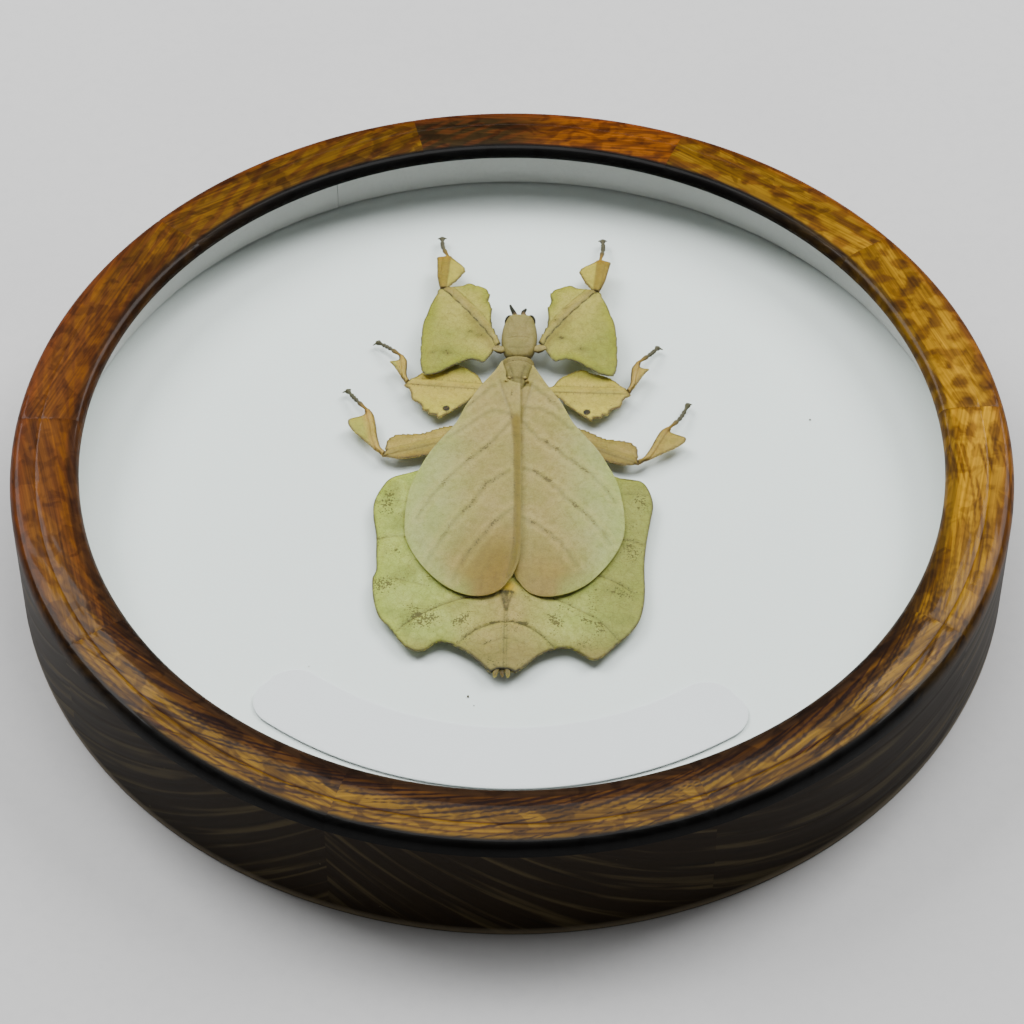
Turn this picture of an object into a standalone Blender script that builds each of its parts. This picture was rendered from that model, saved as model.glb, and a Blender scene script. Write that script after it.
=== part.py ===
"""A female leaf insect, set and mounted in a round glazed box frame that lies on its back.

Sizes are in millimetres and become metres where a mesh is made. Z is up, the origin is the middle of
the frame's underside, and the insect's head points along +Y. The left of the insect is at -X.
"""

import math

import bmesh
import bpy
import numpy as np
from mathutils import Vector

MM = 0.001
GAP = 0.3  # between pieces that touch

# The frame: a turned wooden ring with a lip over the glass, closed by a back panel
FRAME_RADIUS = 86.5
FRAME_HEIGHT = 24.0
LIP_RADIUS = 74.6
LIP_UNDERSIDE = 22.0
REBATE_RADIUS = 80.6
ROUND_STEPS = 72
GLASS_THICKNESS = 2.0
BACK_THICKNESS = 4.0
BOARD_TOP = 11.7
LINING_RADIUS = 78.9

# The bare label, an arc that follows the rim in front of the insect
LABEL_INNER = 53.5
LABEL_OUTER = 66.2
LABEL_FROM = math.radians(-133.0)
LABEL_TO = math.radians(-51.5)
LABEL_CORNER = 4.0
LABEL_THICKNESS = 0.3

# The insect's midline runs a little askew to the frame
HEAD_Y = 34.6
HEAD_X = 1.35
ASKEW = 0.0387

# Heights of the insect over the frame's underside
BELLY = BOARD_TOP + GAP
ABDOMEN_HEIGHT = 13.85
WING_EDGE_HEIGHT = 14.9
WING_CROWN = 1.1
WING_REAR_CROWN = 0.5
WING_FALL = (-8.0, -26.0)  # y from which and to which the crown falls to its rear height
WING_LAP = 0.55
WING_LAP_REACH = 7.0
WING_AXIS = 0.45
WING_HALF_WIDTH = 19.5

# Thin parts
LAMINA = 0.55
WING_THICKNESS = 0.5
VEIN_HEIGHT = 0.24
VEIN_FLANK = 0.2  # of the way to the next row
GROOVE_DEPTH = 0.12
GROOVE_FLANK = 0.12
TOOTH = 0.22

# Body pieces as stations: y, half width, height of the middle, half height
HEAD = (
    (39.3, 1.5, 14.9, 0.7),
    (38.9, 2.1, 14.9, 1.1),
    (38.0, 2.65, 14.9, 1.4),
    (36.5, 3.05, 14.9, 1.6),
    (34.9, 3.2, 14.9, 1.65),
    (34.1, 3.15, 14.9, 1.6),
)
PRONOTUM = (
    (33.8, 3.1, 14.9, 1.55),
    (32.4, 3.0, 14.9, 1.6),
    (31.0, 2.75, 14.9, 1.6),
    (29.8, 2.4, 14.85, 1.5),
    (28.9, 1.95, 14.8, 1.3),
    (28.5, 1.6, 14.8, 1.1),
)
MESOTHORAX = (
    (28.1, 2.0, 14.5, 1.9),
    (27.6, 2.65, 14.5, 2.4),
    (26.6, 2.7, 14.5, 2.5),
    (24.9, 2.3, 14.5, 2.45),
    (23.2, 1.95, 14.45, 2.45),
    (21.6, 2.0, 14.2, 2.2),
)
METATHORAX = (
    (21.3, 2.5, 13.45, 1.45),
    (18.0, 3.0, 13.45, 1.45),
    (14.5, 3.9, 13.45, 1.45),
    (11.5, 4.8, 13.4, 1.4),
)
# Small spines on the mesothorax: distance from the midline, y, height
THORAX_SPINES = (
    (1.65, 22.1, 1.5),
    (1.35, 23.3, 1.3),
)
SPINE_ROOT = 16.0
SPINE_LEAN = 0.3
SPINE_RADII = (0.32, 0.12)

# Abdomen rows: y at the midline, left margin x and y, right margin x and y, 1 at a segment's edge
ABDOMEN_ROWS = (
    (11.2, -4.3, 11.2, 5.4, 11.2, 0),
    (8.0, -7.0, 7.8, 9.2, 7.2, 0),
    (5.5, -12.0, 4.4, 14.5, 3.2, 0),
    (3.5, -17.3, 2.4, 19.6, 0.5, 0),
    (1.5, -21.0, 1.0, 22.4, 0.1, 0),
    (-1.0, -22.7, -1.4, 23.8, -2.0, 0),
    (-4.5, -23.9, -4.7, 24.5, -5.4, 1),
    (-8.5, -24.0, -8.0, 24.0, -9.0, 0),
    (-12.5, -23.4, -12.6, 23.2, -13.9, 1),
    (-16.5, -23.3, -17.0, 22.7, -18.5, 0),
    (-20.0, -23.2, -20.4, 22.6, -22.0, 0),
    (-22.0, -23.8, -22.7, 22.6, -25.0, 1),
    (-24.5, -23.5, -27.0, 22.3, -28.5, 0),
    (-26.7, -22.5, -30.8, 21.4, -32.0, 0),
    (-28.5, -20.6, -33.4, 19.6, -34.9, 1),
    (-29.5, -18.6, -36.6, 17.6, -37.0, 0),
    (-30.3, -16.6, -38.2, 15.6, -39.4, 0),
    (-31.0, -14.7, -38.2, 13.5, -40.4, 0),
    (-31.7, -12.6, -36.6, 11.5, -39.1, 0),
    (-32.3, -11.0, -36.6, 9.5, -37.8, 0),
    (-32.8, -9.7, -37.3, 7.4, -37.9, 0),
)
TIP_ROWS = (
    (-33.1, -9.3, -37.7, 7.0, -38.2, 0),
    (-35.5, -7.6, -38.8, 5.2, -39.1, 0),
    (-38.0, -6.0, -40.3, 3.6, -40.4, 0),
    (-40.5, -4.6, -42.0, 1.9, -42.2, 0),
    (-42.6, -3.6, -43.2, 0.5, -43.2, 0),
)
ARCH_POWER = 2.0  # how the rows arch between midline and margin
LEAF_HALF = 0.3  # half the thickness of the leaf-like edge
# The round body in the leaf: how far it stands above and below, each with its half width
BACK_SWELL = (0.5, 6.0)
BELLY_SWELL = (1.55, 4.5)
SLIMMING = (-14.0, -30.0, 0.45)  # y from which and to which the body slims, and by what share
EDGE_DROOP = 0.25
TIP_SWELL = (0.35, 2.5)
# Cerci: distance from the midline, y, radii
CERCI = (0.9, -43.3, (0.45, 1.2, 0.3))

# Forewing rows, for either side: inner edge, distance from the wings' axis and y; outer edge, the same;
# how far the row bows forward; 1 where a main vein runs along it
WING_ROWS = (
    (1.2, 25.7, 3.4, 25.4, 0.0, 0),
    (1.4, 24.0, 5.0, 22.7, 0.0, 0),
    (1.5, 22.3, 6.7, 19.9, 0.2, 0),
    (0.3, 20.9, 8.5, 16.6, 0.6, 0),
    (-1.05, 20.3, 10.4, 12.2, 1.2, 0),
    (-1.05, 19.0, 14.0, 6.8, 1.6, 1),
    (-1.05, 16.5, 16.2, 3.0, 1.9, 0),
    (-1.05, 14.2, 17.9, -1.2, 2.3, 1),
    (-1.05, 11.8, 18.8, -6.5, 2.7, 0),
    (-1.05, 9.4, 18.95, -11.8, 3.0, 1),
    (-1.05, 6.0, 18.2, -15.4, 2.4, 0),
    (-1.05, 2.6, 16.6, -18.9, 1.8, 1),
    (-1.05, -2.5, 14.5, -22.1, 1.5, 0),
    (-1.05, -7.5, 12.1, -24.7, 1.3, 1),
    (-1.05, -12.0, 9.4, -26.5, 1.0, 0),
    (-1.05, -15.5, 6.8, -27.3, 0.6, 1),
    (-0.95, -18.5, 4.5, -27.2, 0.4, 0),
    (-0.45, -21.3, 2.7, -26.4, 0.2, 0),
    (0.35, -23.6, 1.5, -25.4, 0.0, 0),
)
MEDIAN_VEIN = 1.4  # distance of the long vein from the inner edge
WING_OVERLAP = {-1: -1.05, 1: -0.1}  # how far each wing reaches over the axis; the left one is on top

# Leg pieces as rows: the shaft's crest along and across, then the hind or outer margin and the fore or
# inner margin, each along and across. Only the widths of the first and last rows count, because those
# two are cut square to the neighbour.
FRONT_FEMUR = (
    (0.0, 0.0, 0.0, 0.8, 0.0, -0.85),
    (0.5, -0.1, -0.9, 1.8, 1.3, -1.25),
    (0.9, -0.2, -1.8, 4.1, 2.5, -1.6),
    (1.3, -0.3, -0.9, 4.75, 3.7, -1.85),
    (1.7, -0.4, 0.1, 5.8, 5.0, -2.2),
    (2.2, -0.5, 0.5, 8.0, 6.3, -2.95),
    (2.8, -0.55, 0.6, 10.6, 7.6, -3.8),
    (3.4, -0.6, 0.9, 12.9, 9.0, -4.8),
    (4.4, -0.65, 2.1, 14.4, 10.6, -5.15),
    (6.0, -0.7, 4.4, 13.5, 11.7, -6.2),
    (8.5, -0.7, 8.2, 11.0, 13.2, -6.55),
    (11.0, -0.6, 11.8, 8.2, 14.6, -5.7),
    (13.4, -0.45, 14.5, 5.2, 16.1, -4.7),
    (15.6, -0.25, 16.4, 2.7, 16.3, -3.2),
    (17.5, 0.0, 17.5, 0.7, 17.5, -0.8),
)
MIDDLE_FEMUR = (
    (0.0, 0.0, 0.0, 0.7, 0.0, -0.7),
    (1.0, 0.0, 1.3, 1.1, 1.3, -0.9),
    (2.2, 0.0, 2.7, 2.4, 2.6, -1.95),
    (3.6, 0.0, 4.2, 4.2, 4.2, -3.05),
    (5.0, 0.0, 5.8, 5.7, 5.6, -4.1),
    (6.3, 0.0, 7.2, 6.95, 6.7, -4.95),
    (7.6, 0.0, 8.3, 7.55, 8.2, -4.4),
    (9.0, 0.0, 9.7, 7.1, 9.8, -3.95),
    (10.5, 0.0, 11.4, 6.0, 11.4, -3.3),
    (11.8, 0.0, 12.2, 4.85, 12.6, -2.4),
    (13.0, 0.0, 13.6, 3.7, 13.4, -1.5),
    (13.9, 0.0, 14.1, 2.4, 14.0, -1.0),
    (14.8, 0.0, 14.8, 0.8, 14.8, -0.6),
)
HIND_FEMUR = (
    (0.0, 0.0, 0.0, 0.7, 0.0, -0.7),
    (1.2, 0.0, 1.4, 1.1, 1.3, -1.2),
    (2.6, 0.0, 3.0, 1.8, 2.6, -2.1),
    (4.0, 0.0, 4.6, 2.2, 3.8, -2.75),
    (5.6, 0.0, 6.2, 2.45, 5.3, -3.0),
    (7.4, 0.0, 8.0, 2.55, 7.4, -2.8),
    (9.4, 0.0, 10.0, 2.6, 9.6, -2.65),
    (11.2, 0.0, 12.0, 2.5, 11.5, -3.1),
    (12.8, 0.0, 13.6, 2.3, 13.2, -3.55),
    (14.2, 0.0, 15.0, 2.05, 14.6, -3.5),
    (15.4, 0.0, 16.1, 1.5, 15.8, -2.8),
    (16.2, 0.0, 16.7, 1.1, 16.4, -1.6),
    (17.1, 0.0, 17.1, 0.7, 17.1, -0.6),
)
FRONT_TIBIA = (
    (0.0, 0.0, 0.0, 0.6, 0.0, -0.6),
    (0.9, 0.0, 0.9, 0.9, 1.2, -1.3),
    (2.0, 0.0, 2.2, 1.2, 2.4, -2.2),
    (3.2, 0.0, 3.6, 1.5, 4.0, -2.9),
    (4.6, 0.0, 5.2, 1.65, 5.3, -3.5),
    (6.0, 0.0, 6.6, 1.8, 6.6, -3.1),
    (7.4, 0.0, 7.9, 1.9, 7.8, -1.9),
    (8.5, 0.0, 8.9, 1.9, 8.6, -1.1),
    (9.3, 0.0, 9.3, 0.45, 9.3, -0.45),
)
MIDDLE_TIBIA = (
    (0.0, 0.0, 0.0, 0.5, 0.0, -0.45),
    (1.2, 0.35, 1.1, 0.85, 1.3, -0.1),
    (2.4, 0.3, 2.5, 1.15, 2.4, -0.15),
    (3.8, 0.1, 4.0, 1.5, 3.8, -0.45),
    (5.0, 0.0, 5.4, 1.9, 5.0, -0.7),
    (5.8, 0.0, 6.4, 2.25, 5.8, -0.8),
    (6.3, 0.0, 6.35, 1.3, 6.3, -0.75),
    (6.7, 0.0, 6.6, 0.55, 6.8, -0.6),
    (7.6, 0.0, 7.6, 0.4, 7.6, -0.4),
)
HIND_TIBIA = (
    (0.0, 0.0, 0.0, 0.5, 0.0, -0.45),
    (1.3, 0.75, 1.2, 1.35, 1.4, 0.25),
    (2.8, 0.8, 2.8, 2.0, 2.8, 0.2),
    (4.4, 0.65, 4.4, 2.7, 4.4, 0.0),
    (6.0, 0.4, 6.0, 3.4, 6.0, -0.35),
    (7.4, 0.2, 7.6, 3.95, 7.4, -0.6),
    (8.5, 0.05, 9.0, 4.1, 8.4, -0.75),
    (9.2, -0.05, 9.75, 3.6, 9.1, -0.75),
    (9.5, -0.1, 9.6, 2.2, 9.6, -0.7),
    (9.8, -0.1, 9.65, 0.8, 9.9, -0.6),
    (10.5, 0.0, 10.5, 0.4, 10.5, -0.4),
)
# Each leg: its side, femur and tibia rows, teeth on the femur's two margins, how much wider the
# femur's hind lobe is than its table says, how far the tibia's outer lobe leans toward the foot,
# then the socket in the body, hip, knee, ankle, the tarsus half way down and its end
LEGS = {
    "front_left": (1, FRONT_FEMUR, FRONT_TIBIA, (0.0, 0.0), 1.0, 0.0,
                   (0.3, 30.2, 14.8), (-2.67, 31.05, 15.8), (-12.5, 45.85, 15.9), (-11.8, 55.5, 14.8),
                   (-12.8, 58.8, 14.0), (-13.0, 62.0, 13.2)),
    "front_right": (-1, FRONT_FEMUR, FRONT_TIBIA, (0.0, 0.0), 1.0, 0.0,
                    (2.2, 30.2, 14.8), (5.37, 31.25, 15.8), (15.3, 45.05, 15.9), (16.3, 54.4, 14.8),
                    (16.9, 58.2, 14.0), (16.9, 61.3, 13.2)),
    "middle_left": (1, MIDDLE_FEMUR, MIDDLE_TIBIA, (TOOTH, TOOTH), 1.05, 0.0,
                    (0.2, 23.0, 14.0), (-3.9, 22.3, 14.2), (-18.6, 23.8, 14.2), (-20.0, 30.4, 14.2),
                    (-22.2, 32.9, 13.6), (-24.3, 34.9, 13.0)),
    "middle_right": (-1, MIDDLE_FEMUR, MIDDLE_TIBIA, (TOOTH, TOOTH), 0.92, 0.0,
                     (1.6, 23.0, 14.0), (5.9, 21.8, 14.2), (20.66, 21.3, 14.2), (22.8, 28.7, 14.2),
                     (25.0, 31.3, 13.6), (26.4, 33.5, 13.0)),
    "hind_left": (1, HIND_FEMUR, HIND_TIBIA, (0.0, TOOTH), 1.0, -0.12,
                  (-1.5, 12.8, 13.6), (-6.0, 11.7, 13.9), (-22.4, 6.6, 13.9), (-25.8, 17.1, 14.0),
                  (-27.9, 20.1, 13.5), (-29.4, 22.7, 13.0)),
    "hind_right": (-1, HIND_FEMUR, HIND_TIBIA, (0.0, TOOTH), 0.9, 0.12,
                   (2.2, 12.8, 13.6), (6.7, 11.7, 13.9), (22.05, 4.55, 13.9), (27.8, 12.6, 14.0),
                   (29.9, 15.5, 13.5), (31.4, 19.2, 13.0)),
}
SHAFT_RISE = 0.6  # the shaft's crest over the plane of a leg piece
SHAFT_DEPTH = 0.4
SHAFT_WIDTH = 0.75
LEG_DROOP = 0.003  # of the square of the distance from the shaft
COXA_RADII = {"front": (1.35, 1.2, 0.75), "middle": (0.9, 0.85, 0.65), "hind": (0.9, 0.85, 0.65)}
TARSUS_RADII = (0.3, 0.42, 0.3, 0.4, 0.28, 0.38, 0.28, 0.36, 0.26, 0.45)
CLAW_LENGTH = 1.0
CLAW_RADII = (0.26, 0.2, 0.1)
PAD_RADII = (0.4, 0.4, 0.25)
# Half the angle between the two claws of each foot, in degrees
CLAW_SPREAD = {"front_left": 40.0, "front_right": 38.0, "middle_left": 30.0, "middle_right": 34.0,
               "hind_left": 45.0, "hind_right": 14.0}

# Antennae: root, bend and tip of each, short in this female
ANTENNAE = {
    "left": ((0.85, 39.6, 15.0), (0.35, 40.8, 15.3), (-0.05, 41.7, 15.5), (-0.45, 42.5, 15.6)),
    "right": ((2.2, 39.6, 15.0), (2.05, 40.5, 15.0), (2.3, 41.2, 14.8), (2.6, 41.9, 14.6)),
}
ANTENNA_RADII = (0.42, 0.36, 0.44, 0.36, 0.42, 0.34, 0.38, 0.3, 0.26, 0.18)
EYE_OFFSET = 2.6
EYE_PLACE = (38.45, 15.1)
EYE_RADII = (0.55, 0.75, 0.6)

# Colour and roughness of each material
WOOD = ((0.30, 0.12, 0.02), 0.25)
GLASS = ((0.9, 0.95, 0.95), 0.02)
WHITE = ((0.82, 0.84, 0.83), 0.8)
PANEL = ((0.35, 0.24, 0.14), 0.7)
KHAKI = ((0.46, 0.40, 0.20), 0.6)
GREEN = ((0.40, 0.42, 0.14), 0.55)
YELLOW = ((0.50, 0.40, 0.14), 0.55)
OCHRE = ((0.42, 0.28, 0.08), 0.55)
SLATE = ((0.12, 0.12, 0.09), 0.6)
DARK = ((0.05, 0.03, 0.02), 0.4)


def clear_scene():
    for obj in list(bpy.data.objects):
        bpy.data.objects.remove(obj, do_unlink=True)


def collection(name):
    made = bpy.data.collections.new(name)
    bpy.context.scene.collection.children.link(made)
    return made


def finish(obj, look, parts):
    """Gives an object its own material and moves it to the collection of parts."""
    colour, roughness = look
    material = bpy.data.materials.new(obj.name)
    material.use_nodes = True
    shader = material.node_tree.nodes["Principled BSDF"]
    shader.inputs["Base Color"].default_value = (*colour, 1.0)
    shader.inputs["Roughness"].default_value = roughness
    shader.inputs["Metallic"].default_value = 0.0
    if look is GLASS:
        shader.inputs["Transmission Weight"].default_value = 1.0
    obj.data.materials.clear()
    obj.data.materials.append(material)
    for home in list(obj.users_collection):
        home.objects.unlink(obj)
    parts.objects.link(obj)
    return obj


def object_from(name, points, faces):
    """An object from points in millimetres, with its faces turned outward."""
    mesh = bpy.data.meshes.new(name)
    mesh.from_pydata([Vector(p) * MM for p in points], [], faces)
    shape = bmesh.new()
    shape.from_mesh(mesh)
    bmesh.ops.recalc_face_normals(shape, faces=shape.faces)
    shape.to_mesh(mesh)
    shape.free()
    obj = bpy.data.objects.new(name, mesh)
    bpy.context.scene.collection.objects.link(obj)
    return obj


def as_mesh(obj):
    """The same object as a mesh with its modifiers or bevel applied and its caps welded."""
    graph = bpy.context.evaluated_depsgraph_get()
    graph.update()
    mesh = bpy.data.meshes.new_from_object(obj.evaluated_get(graph))
    shape = bmesh.new()
    shape.from_mesh(mesh)
    bmesh.ops.remove_doubles(shape, verts=shape.verts, dist=0.001 * MM)
    bmesh.ops.recalc_face_normals(shape, faces=shape.faces)
    shape.to_mesh(mesh)
    shape.free()
    name = obj.name
    made = bpy.data.objects.new(name + "_mesh", mesh)
    made.matrix_world = obj.matrix_world
    bpy.context.scene.collection.objects.link(made)
    bpy.data.objects.remove(obj, do_unlink=True)
    made.name = name
    return made


def keep_largest(obj):
    """Keeps the closed surface with the most room in it, so that the node is one body."""
    shape = bmesh.new()
    shape.from_mesh(obj.data)
    left = set(shape.faces)
    pieces = []
    while left:
        piece = set()
        edge_of = [left.pop()]
        while edge_of:
            face = edge_of.pop()
            piece.add(face)
            for edge in face.edges:
                for other in edge.link_faces:
                    if other in left:
                        left.discard(other)
                        edge_of.append(other)
        pieces.append(piece)

    def room(piece):
        return sum(f.calc_center_median().dot(f.normal) * f.calc_area() for f in piece)

    pieces.sort(key=room, reverse=True)
    for piece in pieces[1:]:
        bmesh.ops.delete(shape, geom=list(piece), context="FACES")
    shape.to_mesh(obj.data)
    shape.free()


def joined(base, pieces):
    """One closed body from a base and the pieces that grow from it."""
    group = collection(base.name + "_pieces")
    for piece in pieces:
        for home in list(piece.users_collection):
            home.objects.unlink(piece)
        group.objects.link(piece)
    union = base.modifiers.new("Union", "BOOLEAN")
    union.operation = "UNION"
    union.operand_type = "COLLECTION"
    union.collection = group
    union.solver = "EXACT"
    made = as_mesh(base)
    for piece in list(group.objects):
        bpy.data.objects.remove(piece, do_unlink=True)
    bpy.data.collections.remove(group)
    keep_largest(made)
    return made


def cut_clear(obj, stations):
    """Cuts an object back so that it faces a piece of the body across the gap."""
    grown = [(y, wide + GAP, height, high + GAP) for y, wide, height, high in stations]
    grown[0] = (grown[0][0] + GAP, *grown[0][1:])
    grown[-1] = (grown[-1][0] - GAP, *grown[-1][1:])
    cutter = body("cutter_" + obj.name, grown)
    cut = obj.modifiers.new("Clear", "BOOLEAN")
    cut.operation = "DIFFERENCE"
    cut.object = cutter
    cut.solver = "EXACT"
    made = as_mesh(obj)
    bpy.data.objects.remove(cutter, do_unlink=True)
    keep_largest(made)
    return made


def through(rows, stations):
    """Rows of numbers on Catmull-Rom curves through the given ones, at stations that count them."""
    given = np.array(rows, float)
    padded = np.vstack([2 * given[0] - given[1], given, 2 * given[-1] - given[-2]])
    made = []
    for station in stations:
        i = min(int(station), len(given) - 2)
        t = station - i
        a, b, c, d = padded[i:i + 4]
        made.append(0.5 * (2 * b + (c - a) * t + (2 * a - 5 * b + 4 * c - d) * t * t
                           + (3 * b - a - 3 * c + d) * t ** 3))
    return np.array(made)


def evenly(rows, steps):
    """Stations that divide each span between two rows into equal steps."""
    return [k / steps for k in range((len(rows) - 1) * steps + 1)]


def with_flanks(rows, flank):
    """A station at each row, and one close on each side of those whose last number is 1."""
    stations = []
    for i, row in enumerate(rows):
        stations += [i - flank, i, i + flank] if row[-1] == 1 else [i]
    return stations


def plate(name, rows):
    """A thin closed plate from rows of (x, y, top, bottom), both faces split along the same diagonals."""
    wide = len(rows[0])
    points = [(x, y, top) for row in rows for x, y, top, _ in row]
    points += [(x, y, bottom) for row in rows for x, y, _, bottom in row]
    half = len(rows) * wide
    faces = []
    for i in range(len(rows) - 1):
        for j in range(wide - 1):
            a = i * wide + j
            b, c, d = a + 1, a + wide + 1, a + wide
            faces += [(a, b, c), (a, c, d), (half + a, half + c, half + b), (half + a, half + d, half + c)]
    last = (len(rows) - 1) * wide
    rim = list(range(wide))
    rim += [i * wide + wide - 1 for i in range(1, len(rows))]
    rim += [last + j for j in range(wide - 2, -1, -1)]
    rim += [i * wide for i in range(len(rows) - 2, 0, -1)]
    for here, there in zip(rim, rim[1:] + rim[:1]):
        faces += [(there, here, half + here), (there, half + here, half + there)]
    return object_from(name, points, faces)


def turned(name, profile):
    """A ring from a closed profile of (radius, z), which runs down its outer side first."""
    mesh = bpy.data.meshes.new(name)
    count = len(profile)
    mesh.from_pydata([(r * MM, 0.0, z * MM) for r, z in profile],
                     [(i, (i + 1) % count) for i in range(count)], [])
    obj = bpy.data.objects.new(name, mesh)
    bpy.context.scene.collection.objects.link(obj)
    screw = obj.modifiers.new("Screw", "SCREW")
    screw.axis = "Z"
    screw.steps = ROUND_STEPS
    screw.render_steps = ROUND_STEPS
    screw.merge_threshold = 0.01 * MM
    screw.use_merge_vertices = True
    return obj


def disc(name, radius, low, high):
    bpy.ops.mesh.primitive_cylinder_add(vertices=ROUND_STEPS, radius=radius * MM,
                                        depth=(high - low) * MM, location=(0, 0, (low + high) / 2 * MM))
    obj = bpy.context.object
    obj.name = name
    # The first vertex of a turned ring lies on +X, and that of a disc on +Y
    obj.rotation_euler.z = math.radians(90.0)
    return obj


def tube(name, points, radii):
    """A tube of eight sides along points, its radius changing from point to point."""
    curve = bpy.data.curves.new(name, "CURVE")
    curve.dimensions = "3D"
    curve.bevel_depth = MM
    curve.bevel_resolution = 1
    curve.use_fill_caps = True
    spline = curve.splines.new("POLY")
    spline.points.add(len(points) - 1)
    for place, point, radius in zip(spline.points, points, radii):
        place.co = (*(Vector(point) * MM), 1.0)
        place.radius = radius
    obj = bpy.data.objects.new(name, curve)
    bpy.context.scene.collection.objects.link(obj)
    return as_mesh(obj)


def midline(y):
    return HEAD_X + (y - HEAD_Y) * ASKEW


def body(name, stations, sides=16, power=2.5):
    """A closed body with flat ends, from stations along the insect's midline."""
    points = []
    faces = []
    for y, half_width, height, half_height in stations:
        for k in range(sides):
            angle = 2 * math.pi * (k + 0.5) / sides
            c, s = math.cos(angle), math.sin(angle)
            x = half_width * math.copysign(abs(c) ** (2 / power), c)
            z = half_height * math.copysign(abs(s) ** (2 / power), s)
            points.append((midline(y) + x, y, height + z))
    for i in range(len(stations) - 1):
        for k in range(sides):
            a = i * sides + k
            b = i * sides + (k + 1) % sides
            faces.append((a, b, b + sides, a + sides))
    faces.append(tuple(range(sides)))
    faces.append(tuple((len(stations) - 1) * sides + k for k in range(sides)))
    return object_from(name, points, faces)


def ball(name, centre, radii, segments=10, rings=7):
    bpy.ops.mesh.primitive_uv_sphere_add(segments=segments, ring_count=rings, radius=MM,
                                         location=Vector(centre) * MM)
    obj = bpy.context.object
    obj.name = name
    obj.scale = radii
    bpy.context.view_layer.update()
    obj.data.transform(obj.matrix_world)
    obj.matrix_world.identity()
    return obj


def make_frame(parts):
    profile = (
        (FRAME_RADIUS, 21.6), (FRAME_RADIUS, 0.0), (REBATE_RADIUS, 0.0), (REBATE_RADIUS, LIP_UNDERSIDE),
        (LIP_RADIUS, LIP_UNDERSIDE), (LIP_RADIUS, 22.3), (75.4, 23.1), (76.2, 23.8), (77.4, FRAME_HEIGHT),
        (79.6, FRAME_HEIGHT), (80.7, 23.6), (81.5, 22.9), (81.8, 22.7), (82.5, 23.1), (83.9, 23.4),
        (85.4, 23.0), (86.2, 22.3),
    )
    finish(turned("frame_ring", profile), WOOD, parts)
    glass_top = LIP_UNDERSIDE - GAP
    glass_bottom = glass_top - GLASS_THICKNESS
    inner = REBATE_RADIUS - GAP
    finish(disc("glass_pane", inner, glass_bottom, glass_top), GLASS, parts)
    low, high = BOARD_TOP + GAP, glass_bottom - GAP
    lining = ((inner, high), (inner, low), (LINING_RADIUS, low), (LINING_RADIUS, high))
    finish(turned("lining_ring", lining), WHITE, parts)
    finish(disc("backing_board", inner, BACK_THICKNESS + GAP, BOARD_TOP), WHITE, parts)
    finish(disc("back_panel", inner, 0.0, BACK_THICKNESS), PANEL, parts)


def make_label(parts):
    """A flat arc with rounded ends."""
    steps = 18
    corner_steps = 4
    outline = []

    def corner(radius, angle, turn):
        inward = -1 if radius > (LABEL_INNER + LABEL_OUTER) / 2 else 1
        centre_radius = radius + inward * LABEL_CORNER
        side = 1 if angle < (LABEL_FROM + LABEL_TO) / 2 else -1
        centre_angle = angle + side * LABEL_CORNER / centre_radius
        cx = centre_radius * math.cos(centre_angle)
        cy = centre_radius * math.sin(centre_angle)
        return [(cx + LABEL_CORNER * math.cos(centre_angle + turn + k * math.pi / 2 / corner_steps),
                 cy + LABEL_CORNER * math.sin(centre_angle + turn + k * math.pi / 2 / corner_steps))
                for k in range(corner_steps + 1)]

    def arc(radius, start, stop):
        return [(radius * math.cos(start + (stop - start) * k / steps),
                 radius * math.sin(start + (stop - start) * k / steps)) for k in range(1, steps)]

    trim_out = LABEL_CORNER / (LABEL_OUTER - LABEL_CORNER)
    trim_in = LABEL_CORNER / (LABEL_INNER + LABEL_CORNER)
    outline += corner(LABEL_OUTER, LABEL_FROM, -math.pi / 2)
    outline += arc(LABEL_OUTER, LABEL_FROM + trim_out, LABEL_TO - trim_out)
    outline += corner(LABEL_OUTER, LABEL_TO, 0.0)
    outline += corner(LABEL_INNER, LABEL_TO, math.pi / 2)
    outline += arc(LABEL_INNER, LABEL_TO - trim_in, LABEL_FROM + trim_in)
    outline += corner(LABEL_INNER, LABEL_FROM, math.pi)
    curve = bpy.data.curves.new("label", "CURVE")
    curve.dimensions = "2D"
    curve.fill_mode = "BOTH"
    curve.extrude = LABEL_THICKNESS / 2 * MM
    spline = curve.splines.new("POLY")
    spline.points.add(len(outline) - 1)
    for place, (x, y) in zip(spline.points, outline):
        place.co = (x * MM, y * MM, 0.0, 1.0)
    spline.use_cyclic_u = True
    label = bpy.data.objects.new("label", curve)
    bpy.context.scene.collection.objects.link(label)
    label.location.z = (BOARD_TOP + GAP + LABEL_THICKNESS / 2) * MM
    bpy.context.view_layer.update()
    finish(as_mesh(label), WHITE, parts)


def arched_rows(table, stations, columns, height):
    """Rows of the abdomen: each arches from the midline back to its two margins."""
    made = []
    for station, given in zip(stations, through(table, stations)):
        mid_y, left_x, left_y, right_x, right_y, _ = given
        groove = station == int(station) and table[int(station)][-1] == 1
        row = []
        middle = midline(mid_y)
        for side_x, side_y, order in ((left_x, left_y, reversed(columns)), (right_x, right_y, columns[1:])):
            for share in order:
                x = middle + (side_x - middle) * share
                y = mid_y + (side_y - mid_y) * share ** ARCH_POWER
                row.append((x, y, *height(abs(x - middle), y, share, groove)))
        made.append(row)
    return made


def swell(distance, size):
    """A rounded rise of the given height and half width, as high as it is at a distance from its middle."""
    height, half_width = size
    return height * math.exp(-(distance / half_width) ** 2)


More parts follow.
